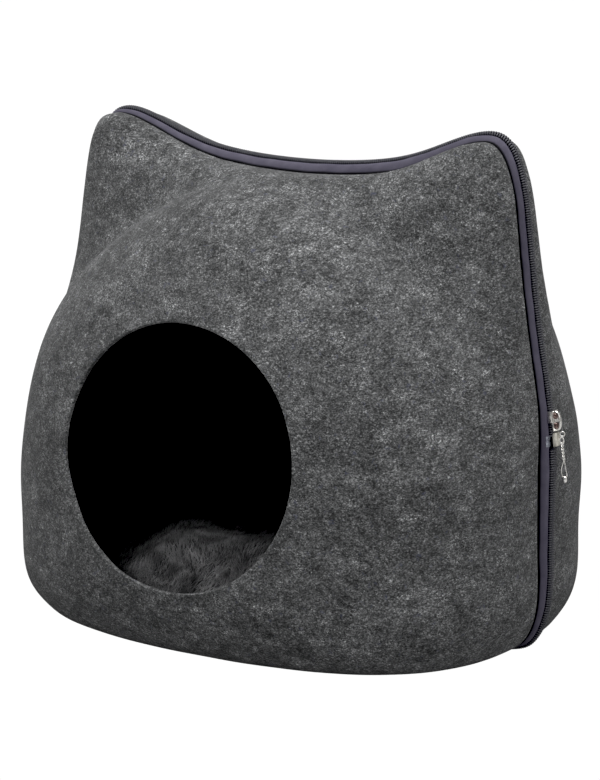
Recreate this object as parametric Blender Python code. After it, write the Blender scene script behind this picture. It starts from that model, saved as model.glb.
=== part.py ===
"""Felt cat cave: two moulded felt cups joined by a zip along a cat's-head seam, with a loose cushion.

Metres, +Z up. The doorway faces -Y and the zip's slider stands on the +X side.
The origin is on the surface that the cave stands on, midway between its front and its back.
"""

import math

import bmesh
import bpy
import numpy as np
from mathutils import Matrix, Vector

# Driving dimensions
FRONT_DEPTH = 0.164          # seam plane to the front of the front cup
BACK_DEPTH = 0.200           # seam plane to the back of the back cup
SEAM_Y = (FRONT_DEPTH - BACK_DEPTH) / 2
POLE_Z = 0.083               # height of the middle of each cup's bulge
FELT = 0.003                 # felt thickness
CLEAR = 0.0003               # gap kept between pieces that touch

# The seam: a cat's head, right half, from under the base up to the dip between the ears
HEAD = (
    # x, z
    (0.0000, -0.0160),       # under the base, before the base is flattened
    (0.0670, -0.0160),
    (0.1750, 0.0105),        # lower corner
    (0.1915, 0.0790),        # cheek
    (0.1925, 0.1640),
    (0.1745, 0.2440),        # neck of the ear
    (0.1630, 0.3225),        # ear, outer side
    (0.1465, 0.3450),        # ear tip
    (0.0990, 0.3320),        # ear, inner side
    (0.0575, 0.3215),
    (0.0000, 0.3180),        # dip between the ears
)
# The round head without ears that the seam's shape fades into, further into each cup
DOME = (
    (0.0000, -0.0160),
    (0.0670, -0.0160),
    (0.1750, 0.0105),
    (0.1915, 0.0790),
    (0.1910, 0.1640),
    (0.1530, 0.2350),
    (0.0000, 0.3155),
)
EAR_FADE = 0.375             # share of a cup's depth by which the ears have faded
SEWN_BAND = 0.0165           # from the seam plane, where the felt is straight under the zip
BASE_ROUND = 0.015           # how softly the sides run into the flat base

# How full each cup is towards its sides, its top and its base: 2 is an ellipse, more is boxier
FULLNESS = {
    "front": {"depth": FRONT_DEPTH, "away": -1, "sides": 2.40, "top": 2.90, "base": 2.80},
    "back": {"depth": BACK_DEPTH, "away": 1, "sides": 1.92, "top": 2.36, "base": 2.72},
}

# The soft valley under each ear
VALLEY_DEEP = 0.011
VALLEY_ANGLE = math.radians(118)   # turned from straight down, about the pole
VALLEY_HALF_ANGLE = 0.25           # radians
VALLEY_AT = 0.54                   # share of the cup's depth
VALLEY_REACH = 0.28

# Doorway
DOOR_RADIUS = 0.0875
DOOR_Z = 0.145

# Zip, as distances from the seam plane; the coil's front border lies on that plane
COIL_WIDE = 0.0055
COIL_LOW = 0.0008            # above the felt's outer surface
COIL_HIGH = 0.0030
COIL_CHAMFER = 0.0011
FRONT_EDGE = 0.0090          # the front cup's felt ends this far before the seam plane
BACK_EDGE = 0.0105           # the back cup's felt ends this far behind it
TAPE_THICK = 0.0012
TAPE_HIDDEN = 0.0055         # width that is sewn under the felt
TAPE_RISE = 0.0005           # it starts to rise this far out from the felt's edge
TAPE_KNEE = 0.0008           # steeply at first, over this width
TAPE_RAMP = 0.0024           # and has risen to its top after this one
TAPE_TOP = 0.0004            # its top beside the coil
SEWN_LIFT = -FELT - CLEAR    # its top where it is sewn under the felt
PRESSED_HIGH = 0.0120        # pressed in under the base, off the floor; from here up it stands proud

# Slider, end box and pull, on the right side. Along the seam, sizes run downwards
SLIDER_Z = 0.1705            # height of the slider's upper end
SLIDER_LONG = 0.0175
SLIDER_WIDE = 0.0100
SLIDER_PLATE = 0.0012
SLIDER_CORNER = 0.0015
SLIDER_WAIST = 0.0079        # from here down it narrows
SLIDER_NARROWS = 0.0012      # on each side, at its lower end
LIP_THICK = 0.0014
LIP_START = 0.0020           # from the slider's upper end
BRIDGE_WIDE = 0.0020
BRIDGE_HIGH = 0.0033
BRIDGE_BAR = 0.0012
BRIDGE_INSET = 0.0010        # from each end of the slider
BRIDGE_CORNER = 0.0018
WINDOW_CORNER = 0.0009
JOINED = 0.0005              # shapes that are joined or cut reach this far into or past each other
BOX_LONG = 0.0080
BOX_HIGH = 0.0024
BOX_BEVEL = 0.0005
TAIL_LONG = 0.0285
TAIL_WIDE = 0.0026
TAIL_HIGH = 0.0013
TAIL_GAP = 0.0010            # between it and the coil
LINK_RADIUS = 0.0030
LINK_WIRE = 0.0009
LINK_PLAY = 0.0005           # the link hangs this far off the bridge's leg, and the pull off the link
PULL_LONG = 0.0290
PULL_NECK = 0.0009           # half its width, between the wires' middles, down its slim upper part
PULL_END = 0.0022            # and at its round lower end
PULL_FLARE = (0.50, 0.85)    # shares of its length between which it widens
PULL_WIRE = 0.0011
PULL_LEAN = math.radians(14)  # the pull hangs a little towards the back

# Cushion
CUSHION_HALF_WIDTH = 0.158
CUSHION_FRONT = 0.128        # seam plane to its front edge
CUSHION_BACK = 0.158
CUSHION_FLOOR = FELT + CLEAR + TAPE_THICK + CLEAR
CUSHION_HIGH = 0.058
CUSHION_SEAM = 0.027         # height of its widest line
CUSHION_SQUARE = 2.5         # 2 is an ellipse, more is boxier
CUSHION_UNDER = (
    # share of the footprint, share of the height from the floor to the seam
    (0.55, 0.00),
    (0.80, 0.05),
    (0.93, 0.35),
    (1.00, 1.00),
)
CUSHION_OVER = (
    # share of the footprint, share of the height from the seam to the crown
    (0.975, 0.30),
    (0.92, 0.62),
    (0.80, 0.86),
    (0.62, 0.97),
    (0.36, 1.00),
)

# Mesh
STATIONS = 72                # columns round the seam
BEND_WEIGHT = 0.050          # metres of seam that a radian of bend counts as
CUP_ROWS = 10                # rows after the ones near the seam
NEAR_ROWS = (SEWN_BAND, 0.0235, 0.0320, 0.0450)   # rows near the seam, set by depth
SPLINE_STEPS = 40
END_STATION_GAP = 0.004      # columns nearer than this to the coil's ends are left out
TAIL_STATIONS = 5
CUSHION_COLUMNS = 32
CORNER_STEPS = 4
LINK_STEPS = 14
PULL_ARC_STEPS = 6
PULL_SIDE_STEPS = 6
WIRE_SIDES = 6
HALVINGS = 40                # of the phase, when the doorway's rim is looked for
OUTWARD_STEP = 0.004         # along the seam, to either side of the place whose outward direction is wanted
SHARP_ANGLE = math.radians(40)


def closed_spline(half):
    """A smooth closed curve through a right half's points and their mirror images."""
    right = np.array(half, float)
    points = np.vstack([right, (right[1:-1] * [-1, 1])[::-1]])
    count = len(points)
    following = np.roll(points, -1, 0)
    span = np.sqrt(np.linalg.norm(following - points, axis=1))
    system = np.zeros((count, count))
    bends = np.zeros((count, 2))
    for i in range(count):
        after = (i + 1) % count
        system[i, i - 1] += span[i - 1]
        system[i, i] += 2 * (span[i - 1] + span[i])
        system[i, after] += span[i]
        slope_out = (points[after] - points[i]) / span[i]
        slope_in = (points[i] - points[i - 1]) / span[i - 1]
        bends[i] = 6 * (slope_out - slope_in)
    second = np.linalg.solve(system, bends)
    curve = []
    for i in range(count):
        after = (i + 1) % count
        t = np.linspace(0, span[i], SPLINE_STEPS, endpoint=False)[:, None]
        rest = span[i] - t
        cubic = (second[i] * rest ** 3 + second[after] * t ** 3) / (6 * span[i])
        from_here = (points[i] / span[i] - second[i] * span[i] / 6) * rest
        from_next = (points[after] / span[i] - second[after] * span[i] / 6) * t
        curve.append(cubic + from_here + from_next)
    return np.vstack(curve)


def smooth_step(x):
    x = np.clip(x, 0, 1)
    return x * x * (3 - 2 * x)


def polar(curve):
    """A curve's angles about the pole, from straight down, and its distances from the pole, in order."""
    angle = np.arctan2(curve[:, 0], POLE_Z - curve[:, 1])
    distance = np.hypot(curve[:, 0], curve[:, 1] - POLE_Z)
    order = np.argsort(angle)
    return angle[order], distance[order]


HEAD_CURVE = closed_spline(HEAD)
HEAD_POLAR = polar(HEAD_CURVE)
DOME_POLAR = polar(closed_spline(DOME))


def fullness(cup, angle):
    """The exponent of the cup's section in each direction from the pole."""
    down = np.cos(angle)
    to_base = (cup["base"] - cup["sides"]) * np.clip(down, 0, 1) ** 2
    to_top = (cup["top"] - cup["sides"]) * np.clip(-down, 0, 1) ** 2
    return cup["sides"] + to_base + to_top


def phase_at(cup, angle, depth):
    """The section's phase at a depth from the seam: 0 in the seam plane, a right angle at the pole."""
    return np.arcsin((depth / cup["depth"]) ** (fullness(cup, angle) / 2))


def cup_surface(cup, angle, phase):
    """Points of the felt's outer surface, by their angle about the pole and their phase."""
    power = 2 / fullness(cup, angle)
    inward = np.cos(phase) ** power
    depth = np.sin(phase) ** power
    head = np.interp(angle, *HEAD_POLAR, period=2 * np.pi)
    dome = np.interp(angle, *DOME_POLAR, period=2 * np.pi)
    from_seam = depth * cup["depth"]
    fade = smooth_step((from_seam - SEWN_BAND) / (EAR_FADE * cup["depth"] - SEWN_BAND))
    off_angle = (np.abs(angle) - VALLEY_ANGLE) / VALLEY_HALF_ANGLE
    off_depth = (depth - VALLEY_AT) / VALLEY_REACH
    valley = VALLEY_DEEP * np.exp(-off_angle ** 2 - off_depth ** 2)
    distance = (head * (1 - fade) + dome * fade - valley) * inward
    x = distance * np.sin(angle)
    z = POLE_Z - distance * np.cos(angle)
    z = np.where(np.abs(z) < BASE_ROUND, (z + BASE_ROUND) ** 2 / (4 * BASE_ROUND), np.maximum(z, 0))
    return np.stack([x, SEAM_Y + cup["away"] * from_seam, z], -1)


def wrapped(angle):
    return (angle + np.pi) % (2 * np.pi) - np.pi


def seam_measure():
    """Along the closed head curve: the distance, and the distance with each bend counted in."""
    ends = np.vstack([HEAD_CURVE, HEAD_CURVE[:1]])
    steps = np.diff(ends, axis=0)
    length = np.linalg.norm(steps, axis=1)
    heading = np.unwrap(np.arctan2(steps[:, 1], steps[:, 0]))
    bend = np.abs(np.diff(heading, append=heading[0] + 2 * np.pi))
    distance = np.concatenate([[0], np.cumsum(length)])
    weighted = np.concatenate([[0], np.cumsum(length + BEND_WEIGHT * bend)])
    return ends, distance, weighted


SEAM_ENDS, SEAM_DISTANCE, SEAM_WEIGHTED = seam_measure()
SEAM_LONG = SEAM_DISTANCE[-1]


def seam_point(distance):
    """Points of the head curve in the seam plane, as x and z, by the distance from under the base."""
    distance = np.asarray(distance, float) % SEAM_LONG
    x = np.interp(distance, SEAM_DISTANCE, SEAM_ENDS[:, 0])
    z = np.interp(distance, SEAM_DISTANCE, SEAM_ENDS[:, 1])
    return np.stack([x, z], -1)


def seam_angle(distance):
    point = seam_point(distance)
    return np.arctan2(point[..., 0], POLE_Z - point[..., 1])


def seam_outward(distance):
    """The unit vector that points out of the cave at a place on the seam, in the seam plane."""
    ahead = cup_surface(FULLNESS["back"], seam_angle(np.asarray(distance) + OUTWARD_STEP), 0.0)
    behind = cup_surface(FULLNESS["back"], seam_angle(np.asarray(distance) - OUTWARD_STEP), 0.0)
    along = ahead - behind
    along = along / np.linalg.norm(along, axis=-1, keepdims=True)
    return np.stack([along[..., 2], np.zeros_like(along[..., 0]), -along[..., 0]], -1)


def station_distances():
    """Places round the seam, closer together where it bends."""
    even = np.arange(STATIONS) / STATIONS * SEAM_WEIGHTED[-1]
    return np.interp(even, SEAM_WEIGHTED, SEAM_DISTANCE)


def seam_distance_at_height(z):
    """Where the right side of the seam has this height."""
    side = slice(SPLINE_STEPS * 2, SPLINE_STEPS * 6)
    return float(np.interp(z, SEAM_ENDS[side, 1], SEAM_DISTANCE[side]))


def on_zip(distance, depth, lift, base_lift):
    """A point beside the seam: its signed distance from the seam plane, and its height over the felt,
    which under the base is another one."""
    cup = FULLNESS["back" if depth > 0 else "front"]
    angle = seam_angle(distance)
    surface = cup_surface(cup, angle, phase_at(cup, angle, abs(depth)))
    pressed = smooth_step(1 - surface[..., 2] / PRESSED_HIGH)
    return surface + seam_outward(distance) * (lift + (base_lift - lift) * pressed)


# Objects and materials

def clear_scene():
    for old in list(bpy.data.objects):
        bpy.data.objects.remove(old)


def finish(name, color, roughness, metallic=0.0):
    material = bpy.data.materials.new(name)
    material.use_nodes = True
    shader = material.node_tree.nodes["Principled BSDF"]
    shader.inputs["Base Color"].default_value = (*color, 1.0)
    shader.inputs["Roughness"].default_value = roughness
    shader.inputs["Metallic"].default_value = metallic
    return material


def add_object(name, mesh, material, cave):
    piece = bpy.data.objects.new(name, mesh)
    bpy.context.scene.collection.objects.link(piece)
    piece.data.materials.append(material)
    piece.parent = cave
    mesh.shade_smooth()
    mesh.set_sharp_from_angle(angle=SHARP_ANGLE)
    return piece


def mesh_from(name, points, faces):
    """A mesh from points and faces, with its faces turned outwards."""
    shape = bmesh.new()
    verts = [shape.verts.new(Vector(p)) for p in points]
    for face in faces:
        shape.faces.new([verts[i] for i in face])
    bmesh.ops.recalc_face_normals(shape, faces=shape.faces)
    mesh = bpy.data.meshes.new(name)
    shape.to_mesh(mesh)
    shape.free()
    return mesh


def row_faces(rows, columns, joined=False):
    """Quads between rows of points that each run round a loop; joined, the last row meets the first."""
    faces = []
    for r in range(rows if joined else rows - 1):
        here = r * columns
        there = (r + 1) % rows * columns
        for c in range(columns):
            n = (c + 1) % columns
            faces.append((here + c, here + n, there + n, there + c))
    return faces


# Felt cups

def near_phases(cup, edge, angle):
    """The phases of the rows at the cup's cut edge and just inside it, which are set by depth."""
    return [phase_at(cup, angle, depth) for depth in (edge, *NEAR_ROWS)]


def thicken(piece):
    """Gives the cup's outer surface the felt's thickness, on its inner side."""
    wall = piece.modifiers.new("felt", "SOLIDIFY")
    wall.thickness = FELT
    wall.offset = -1.0
    wall.use_even_offset = True
    wall.use_rim = True


def doorway_rim(cup, angle):
    """Angle about the pole and phase of the doorway's rim, for a direction from the doorway's middle."""
    x = DOOR_RADIUS * np.sin(angle)
    z = DOOR_Z - DOOR_RADIUS * np.cos(angle)
    about_pole = np.arctan2(x, POLE_Z - z)
    low = np.zeros_like(about_pole)
    high = np.full_like(about_pole, np.pi / 2)
    target = np.hypot(x, z - POLE_Z)
    for _ in range(HALVINGS):
        middle = (low + high) / 2
        point = cup_surface(cup, about_pole, middle)
        outside = np.hypot(point[:, 0], point[:, 2] - POLE_Z) > target
        low = np.where(outside, middle, low)
        high = np.where(outside, high, middle)
    return about_pole, (low + high) / 2


def front_cup(cave, felt):
    """The front cup, from its cut edge at the zip to the rim of the round doorway."""
    cup = FULLNESS["front"]
    distance = station_distances()
    angle = seam_angle(distance)
    seam = seam_point(distance)
    from_door = np.arctan2(seam[:, 0], DOOR_Z - seam[:, 1])
    rim_angle, rim_phase = doorway_rim(cup, from_door)
    turn = wrapped(rim_angle - angle)
    phases = near_phases(cup, FRONT_EDGE, angle)
    rows = [cup_surface(cup, angle, phase) for phase in phases]
    for k in range(1, CUP_ROWS + 1):
        share = k / CUP_ROWS
        phase = phases[-1] + (rim_phase - phases[-1]) * share
        rows.append(cup_surface(cup, angle + turn * share, phase))
    mesh = mesh_from("front_shell", np.vstack(rows), row_faces(len(rows), STATIONS))
    piece = add_object("front_shell", mesh, felt, cave)
    face_outwards(mesh, Vector((0, SEAM_Y, POLE_Z)))
    thicken(piece)


def back_cup(cave, felt):
    """The closed back cup, from its cut edge at the zip to its pole."""
    cup = FULLNESS["back"]
    angle = seam_angle(station_distances())
    phases = near_phases(cup, BACK_EDGE, angle)
    rows = [cup_surface(cup, angle, phase) for phase in phases]
    for k in range(1, CUP_ROWS + 1):
        share = k / (CUP_ROWS + 1)
        rows.append(cup_surface(cup, angle, phases[-1] + (np.pi / 2 - phases[-1]) * share))
    pole = np.array([[0, SEAM_Y + BACK_DEPTH, POLE_Z]])
    faces = row_faces(len(rows), STATIONS)
    last = (len(rows) - 1) * STATIONS
    for c in range(STATIONS):
        faces.append((last + c, last + (c + 1) % STATIONS, last + STATIONS))
    mesh = mesh_from("back_shell", np.vstack(rows + [pole]), faces)
    piece = add_object("back_shell", mesh, felt, cave)
    face_outwards(mesh, Vector((0, SEAM_Y, POLE_Z)))
    thicken(piece)


def face_outwards(mesh, inside):
    """Flips an open shell whose faces look towards a point inside it."""
    looks = sum((face.center - inside).dot(face.normal) * face.area for face in mesh.polygons)
    if looks < 0:
        mesh.flip_normals()


# Zip

def strip_along_seam(name, profile, distances, closed, cave, material):
    """A solid strip along the seam. Its section is a closed line of depths, lifts and base lifts."""
    rings = [[on_zip(d, *corner) for corner in profile] for d in distances]
    count = len(profile)
    faces = row_faces(len(rings), count, joined=closed)
    if not closed:
        faces.append(tuple(range(count)))
        faces.append(tuple(range((len(rings) - 1) * count, len(rings) * count)))
    mesh = mesh_from(name, np.array(rings).reshape(-1, 3), faces)
    return add_object(name, mesh, material, cave)


def tape_profile(edge, middle, away):
    """A tape's section: sewn flat under the felt, then up and over to the coil's middle."""
    bend = edge - TAPE_RISE
    outer = (
        # distance from the seam plane, height over the felt
        (away * (edge + TAPE_HIDDEN), SEWN_LIFT),
        (away * bend, SEWN_LIFT),
        (away * (bend - TAPE_KNEE), -TAPE_KNEE),
        (away * (bend - TAPE_RAMP), TAPE_TOP),
        (middle, TAPE_TOP),
    )
    inner = (
        (middle, TAPE_TOP),
        (away * (bend - TAPE_RAMP - TAPE_THICK / 2), TAPE_TOP),
        (away * (bend - TAPE_KNEE - TAPE_THICK), SEWN_LIFT),
        (away * (edge + TAPE_HIDDEN), SEWN_LIFT),
    )
    section = [(depth, lift, SEWN_LIFT) for depth, lift in outer]
    section += [(depth, lift - TAPE_THICK, SEWN_LIFT - TAPE_THICK) for depth, lift in inner]
    return section


def over_tape(section):
    """A section that lies on the tape, with the tape's own drop under the base added."""
    return [(depth, lift, lift - TAPE_TOP + SEWN_LIFT) for depth, lift in section]


def tapes(cave, material):
    stations = station_distances()
    middle = COIL_WIDE / 2
    half_gap = CLEAR / 2
    front = tape_profile(FRONT_EDGE, middle - half_gap, -1)
    back = tape_profile(BACK_EDGE, middle + half_gap, 1)
    strip_along_seam("front_tape", front, stations, True, cave, material)
    strip_along_seam("back_tape", back, stations, True, cave, material)


def coil_ends():
    """Where the coil starts below the end box, and where it ends in the slider, along the seam."""
    slider_top = seam_distance_at_height(SLIDER_Z)
    box_top = slider_top - SLIDER_LONG - CLEAR
    start = box_top - BOX_LONG - CLEAR
    return start, slider_top, box_top


def coil(cave, material):
    """The closed coil: down from the end box, round under the base, over the ears and back to the slider."""
    start, slider_top, _ = coil_ends()
    end = slider_top - SLIDER_LONG
    stations = station_distances()
    upper = [d for d in stations if d > end + END_STATION_GAP]
    lower = [d + SEAM_LONG for d in stations if d < start - END_STATION_GAP]
    distances = [end, *upper, *lower, start + SEAM_LONG]
    profile = over_tape((
        (0.0, COIL_LOW),
        (0.0, COIL_HIGH - COIL_CHAMFER),
        (COIL_CHAMFER, COIL_HIGH),
        (COIL_WIDE - COIL_CHAMFER, COIL_HIGH),
        (COIL_WIDE, COIL_HIGH - COIL_CHAMFER),
        (COIL_WIDE, COIL_LOW),
    ))
    strip_along_seam("zip_coil", profile, distances, False, cave, material)


def coil_tail(cave, material):
    """The spare end of the chain, which runs on beside the coil below the end box."""
    _, _, box_top = coil_ends()
    near = COIL_WIDE + TAIL_GAP
    low = TAPE_TOP + CLEAR
    profile = over_tape((
        (near, low),
        (near, low + TAIL_HIGH),
        (near + TAIL_WIDE, low + TAIL_HIGH),
        (near + TAIL_WIDE, low),
    ))
    top = box_top - BOX_LONG / 2
    distances = np.linspace(top, top - TAIL_LONG, TAIL_STATIONS)
    strip_along_seam("coil_tail", profile, distances, False, cave, material)


# Slider, end box, link and pull. They are made in a local frame: u down the seam, v to the back, w outwards

def zip_frame(distance):
    """The local frame at a place on the seam, as a matrix."""
    outward = Vector(seam_outward(distance))
    back = Vector((0, 1, 0))
    down = back.cross(outward)
    origin = Vector(on_zip(distance, 0.0, 0.0, 0.0))
    return Matrix((down, back, outward)).transposed().to_4x4(), origin


def block(shape, low, high):
    """A box between two corners, added to a bmesh."""
    size = Vector(high) - Vector(low)
    middle = (Vector(high) + Vector(low)) / 2
    place = Matrix.Translation(middle) @ Matrix.Diagonal((*size, 1))
    return bmesh.ops.create_cube(shape, size=1.0, matrix=place)["verts"]


def cutter_or_part(name, build):
    """An object that another one is joined with or cut by."""
    shape = bmesh.new()
    build(shape)
    mesh = bpy.data.meshes.new(name)
    shape.to_mesh(mesh)
    shape.free()
    piece = bpy.data.objects.new(name, mesh)
    bpy.context.scene.collection.objects.link(piece)
    piece.hide_render = True
    piece.display_type = "WIRE"
    return piece


def combine(piece, other, operation):
    step = piece.modifiers.new(other.name, "BOOLEAN")
    step.operation = operation
    step.solver = "EXACT"
    step.object = other


def extruded(outline, v_low, v_high):
    """A function that adds an outline in u and w, extruded along v, to a bmesh."""
    def build(shape):
        count = len(outline)
        low = [shape.verts.new((u, v_low, w)) for u, w in outline]
        high = [shape.verts.new((u, v_high, w)) for u, w in outline]
        shape.faces.new(low)
        shape.faces.new(high)
        for i in range(count):
            n = (i + 1) % count
            shape.faces.new((low[i], low[n], high[n], high[i]))
        bmesh.ops.recalc_face_normals(shape, faces=shape.faces)
    return build


def rounded_bar(u_low, u_high, w_low, w_high, radius):
    """An outline in u and w with round corners."""
    outline = []
    corners = (
        (u_high - radius, w_low + radius, -90),
        (u_high - radius, w_high - radius, 0),
        (u_low + radius, w_high - radius, 90),
        (u_low + radius, w_low + radius, 180),
    )
    for u, w, start in corners:
        for k in range(CORNER_STEPS + 1):
            turn = math.radians(start + 90 * k / CORNER_STEPS)
            outline.append((u + radius * math.cos(turn), w + radius * math.sin(turn)))
    return outline


def slider_plan(middle, plate_low, plate_high):
    """A function that adds the slider's plate, narrower at its lower end, to a bmesh."""
    half = SLIDER_WIDE / 2
    nose = half - SLIDER_NARROWS
    inset = half - SLIDER_CORNER
    one_side = ((0.0, inset), (SLIDER_CORNER, half), (SLIDER_WAIST, half), (SLIDER_LONG, nose))
    around = [*one_side, *[(u, -v) for u, v in reversed(one_side)]]

    def build(shape):
        low = [shape.verts.new((u, middle + v, plate_low)) for u, v in around]
        high = [shape.verts.new((u, middle + v, plate_high)) for u, v in around]
        shape.faces.new(low)
        shape.faces.new(high)
        for i in range(len(around)):
            n = (i + 1) % len(around)
            shape.faces.new((low[i], low[n], high[n], high[i]))
        bmesh.ops.recalc_face_normals(shape, faces=shape.faces)
    return build


def slider_lips(middle, plate_low):
    """A function that adds the lips down the slider's two sides to a bmesh."""
    inner = COIL_WIDE / 2 + CLEAR
    outer = inner + LIP_THICK

    def build(shape):
        for v_low, v_high in ((middle - outer, middle - inner), (middle + inner, middle + outer)):
            low = (LIP_START, v_low, COIL_LOW + CLEAR)
            block(shape, low, (SLIDER_LONG - BRIDGE_INSET, v_high, plate_low + JOINED))
    return build


def slider(cave, metal):
    """The slider: a plate over the coil with a lip down each side, and a bridge with two windows."""
    _, slider_top, _ = coil_ends()
    middle = COIL_WIDE / 2
    plate_low = COIL_HIGH + CLEAR
    plate_high = plate_low + SLIDER_PLATE
    bridge_top = plate_high + BRIDGE_HIGH
    window_top = bridge_top - BRIDGE_BAR
    v_low = middle - BRIDGE_WIDE / 2
    v_high = middle + BRIDGE_WIDE / 2
    upper = BRIDGE_INSET
    lower = SLIDER_LONG - BRIDGE_INSET
    post_top = (SLIDER_LONG - BRIDGE_BAR) / 2
    post_end = post_top + BRIDGE_BAR
    bridge = rounded_bar(upper, lower, plate_high - JOINED, bridge_top, BRIDGE_CORNER)
    window_a = rounded_bar(upper + BRIDGE_BAR, post_top, plate_high, window_top, WINDOW_CORNER)
    window_b = rounded_bar(post_end, lower - BRIDGE_BAR, plate_high, window_top, WINDOW_CORNER)

    frame, origin = zip_frame(slider_top)
    mesh = bpy.data.meshes.new("zip_slider")
    shape = bmesh.new()
    slider_plan(middle, plate_low, plate_high)(shape)
    shape.to_mesh(mesh)
    shape.free()
    body = add_object("zip_slider", mesh, metal, cave)
    body.matrix_world = Matrix.Translation(origin) @ frame
    parts = (
        ("slider_lips", slider_lips(middle, plate_low), "UNION"),
        ("slider_bridge", extruded(bridge, v_low, v_high), "UNION"),
        ("slider_window_a", extruded(window_a, v_low - JOINED, v_high + JOINED), "DIFFERENCE"),
        ("slider_window_b", extruded(window_b, v_low - JOINED, v_high + JOINED), "DIFFERENCE"),
    )
    for name, build, operation in parts:
        other = cutter_or_part(name, build)
        other.matrix_world = body.matrix_world
        combine(body, other, operation)
    return bridge_top


def end_box(cave, metal):
    """The metal box on the coil's starting end, just below the slider."""
    _, _, box_top = coil_ends()
    frame, origin = zip_frame(box_top)
    mesh = bpy.data.meshes.new("end_box")
    shape = bmesh.new()
    low = (0.0, 0.0, TAPE_TOP + CLEAR)
    block(shape, low, (BOX_LONG, COIL_WIDE, TAPE_TOP + CLEAR + BOX_HIGH))
    bmesh.ops.bevel(shape, geom=shape.edges, offset=BOX_BEVEL, segments=1, affect="EDGES")
    shape.to_mesh(mesh)
    shape.free()
    piece = add_object("end_box", mesh, metal, cave)
    piece.matrix_world = Matrix.Translation(origin) @ frame


def wire(name, points, thickness, cave, metal):
    """A closed loop of round wire through points."""
    points = [Vector(p) for p in points]
    count = len(points)
    rings = []
    normal = (points[count // 4] - points[0]).cross(points[count // 2] - points[0]).normalized()
    for i, point in enumerate(points):
        along = (points[(i + 1) % count] - points[i - 1]).normalized()
        across = along.cross(normal)
        for s in range(WIRE_SIDES):
            turn = 2 * math.pi * s / WIRE_SIDES
            offset = across * math.cos(turn) + normal * math.sin(turn)
            rings.append(point + offset * thickness / 2)
    faces = row_faces(count, WIRE_SIDES, joined=True)
    return add_object(name, mesh_from(name, rings, faces), metal, cave)


def pull_outline():
    """The middle line of the pull's wire, as distances down and across: slim, with a round lower end."""
    first, last = PULL_FLARE
    side_end = PULL_LONG - PULL_END
    side = []
    for k in range(PULL_SIDE_STEPS + 1):
        along = PULL_NECK + (side_end - PULL_NECK) * k / PULL_SIDE_STEPS
        widening = smooth_step((along / PULL_LONG - first) / (last - first))
        side.append((along, PULL_NECK + (PULL_END - PULL_NECK) * float(widening)))
    points = []
    for k in range(1, PULL_ARC_STEPS):
        turn = math.pi * k / PULL_ARC_STEPS
        points.append((PULL_NECK * (1 - math.sin(turn)), -PULL_NECK * math.cos(turn)))
    points += side
    for k in range(1, PULL_ARC_STEPS):
        turn = math.pi * k / PULL_ARC_STEPS
        points.append((side_end + PULL_END * math.sin(turn), PULL_END * math.cos(turn)))
    points += [(along, -across) for along, across in reversed(side)]
    return points


def link_and_pull(bridge_top, cave, metal):
    """The small link that hangs on the bridge's lower leg, and the pull that hangs in the link."""
    _, slider_top, _ = coil_ends()
    frame, origin = zip_frame(slider_top)
    place = Matrix.Translation(origin) @ frame
    leg_inside = SLIDER_LONG - BRIDGE_INSET - BRIDGE_BAR
    link_top = leg_inside - LINK_PLAY - LINK_WIRE / 2
    link_w = bridge_top - BRIDGE_BAR - LINK_PLAY - LINK_WIRE / 2
    link = []
    for k in range(LINK_STEPS):
        turn = 2 * math.pi * k / LINK_STEPS
        u = link_top + LINK_RADIUS * (1 - math.cos(turn))
        v = COIL_WIDE / 2 + LINK_RADIUS * math.sin(turn)
        link.append(place @ Vector((u, v, link_w)))
    wire("pull_link", link, LINK_WIRE, cave, metal)
    lowest = link[LINK_STEPS // 2]
    down = Vector((0, math.sin(PULL_LEAN), -math.cos(PULL_LEAN)))
    outward = Vector((1, 0, 0))
    top = lowest - down * (LINK_WIRE / 2 + CLEAR + PULL_WIRE / 2)
    pull = [top + down * along + outward * across for along, across in pull_outline()]
    wire("zip_pull", pull, PULL_WIRE, cave, metal)


# Cushion

def cushion_ring(share, z):
    """Points round the cushion, at a share of its footprint and a height."""
    ring = []
    for c in range(CUSHION_COLUMNS):
        turn = 2 * math.pi * c / CUSHION_COLUMNS
        x = math.copysign(abs(math.cos(turn)) ** (2 / CUSHION_SQUARE), math.cos(turn))
        y = math.copysign(abs(math.sin(turn)) ** (2 / CUSHION_SQUARE), math.sin(turn))
        reach = CUSHION_BACK if y > 0 else CUSHION_FRONT
        ring.append((CUSHION_HALF_WIDTH * share * x, SEAM_Y + reach * share * y, z))
    return ring


def cushion(cave, plush):
    """A loose filled cushion with a crown, drawn in at its seam and flat underneath."""
    points = []
    for share, height in CUSHION_UNDER:
        points += cushion_ring(share, CUSHION_FLOOR + (CUSHION_SEAM - CUSHION_FLOOR) * height)
    for share, height in CUSHION_OVER:
        points += cushion_ring(share, CUSHION_SEAM + (CUSHION_HIGH - CUSHION_SEAM) * height)
    faces = row_faces(len(CUSHION_UNDER) + len(CUSHION_OVER), CUSHION_COLUMNS)
    bottom = len(points)
    top_ring = bottom - CUSHION_COLUMNS
    points.append((0, SEAM_Y, CUSHION_FLOOR))
    points.append((0, SEAM_Y, CUSHION_HIGH))
    for c in range(CUSHION_COLUMNS):
        n = (c + 1) % CUSHION_COLUMNS
        faces.append((c, n, bottom))
        faces.append((top_ring + c, top_ring + n, bottom + 1))
    add_object("cushion", mesh_from("cushion", points, faces), plush, cave)


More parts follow.
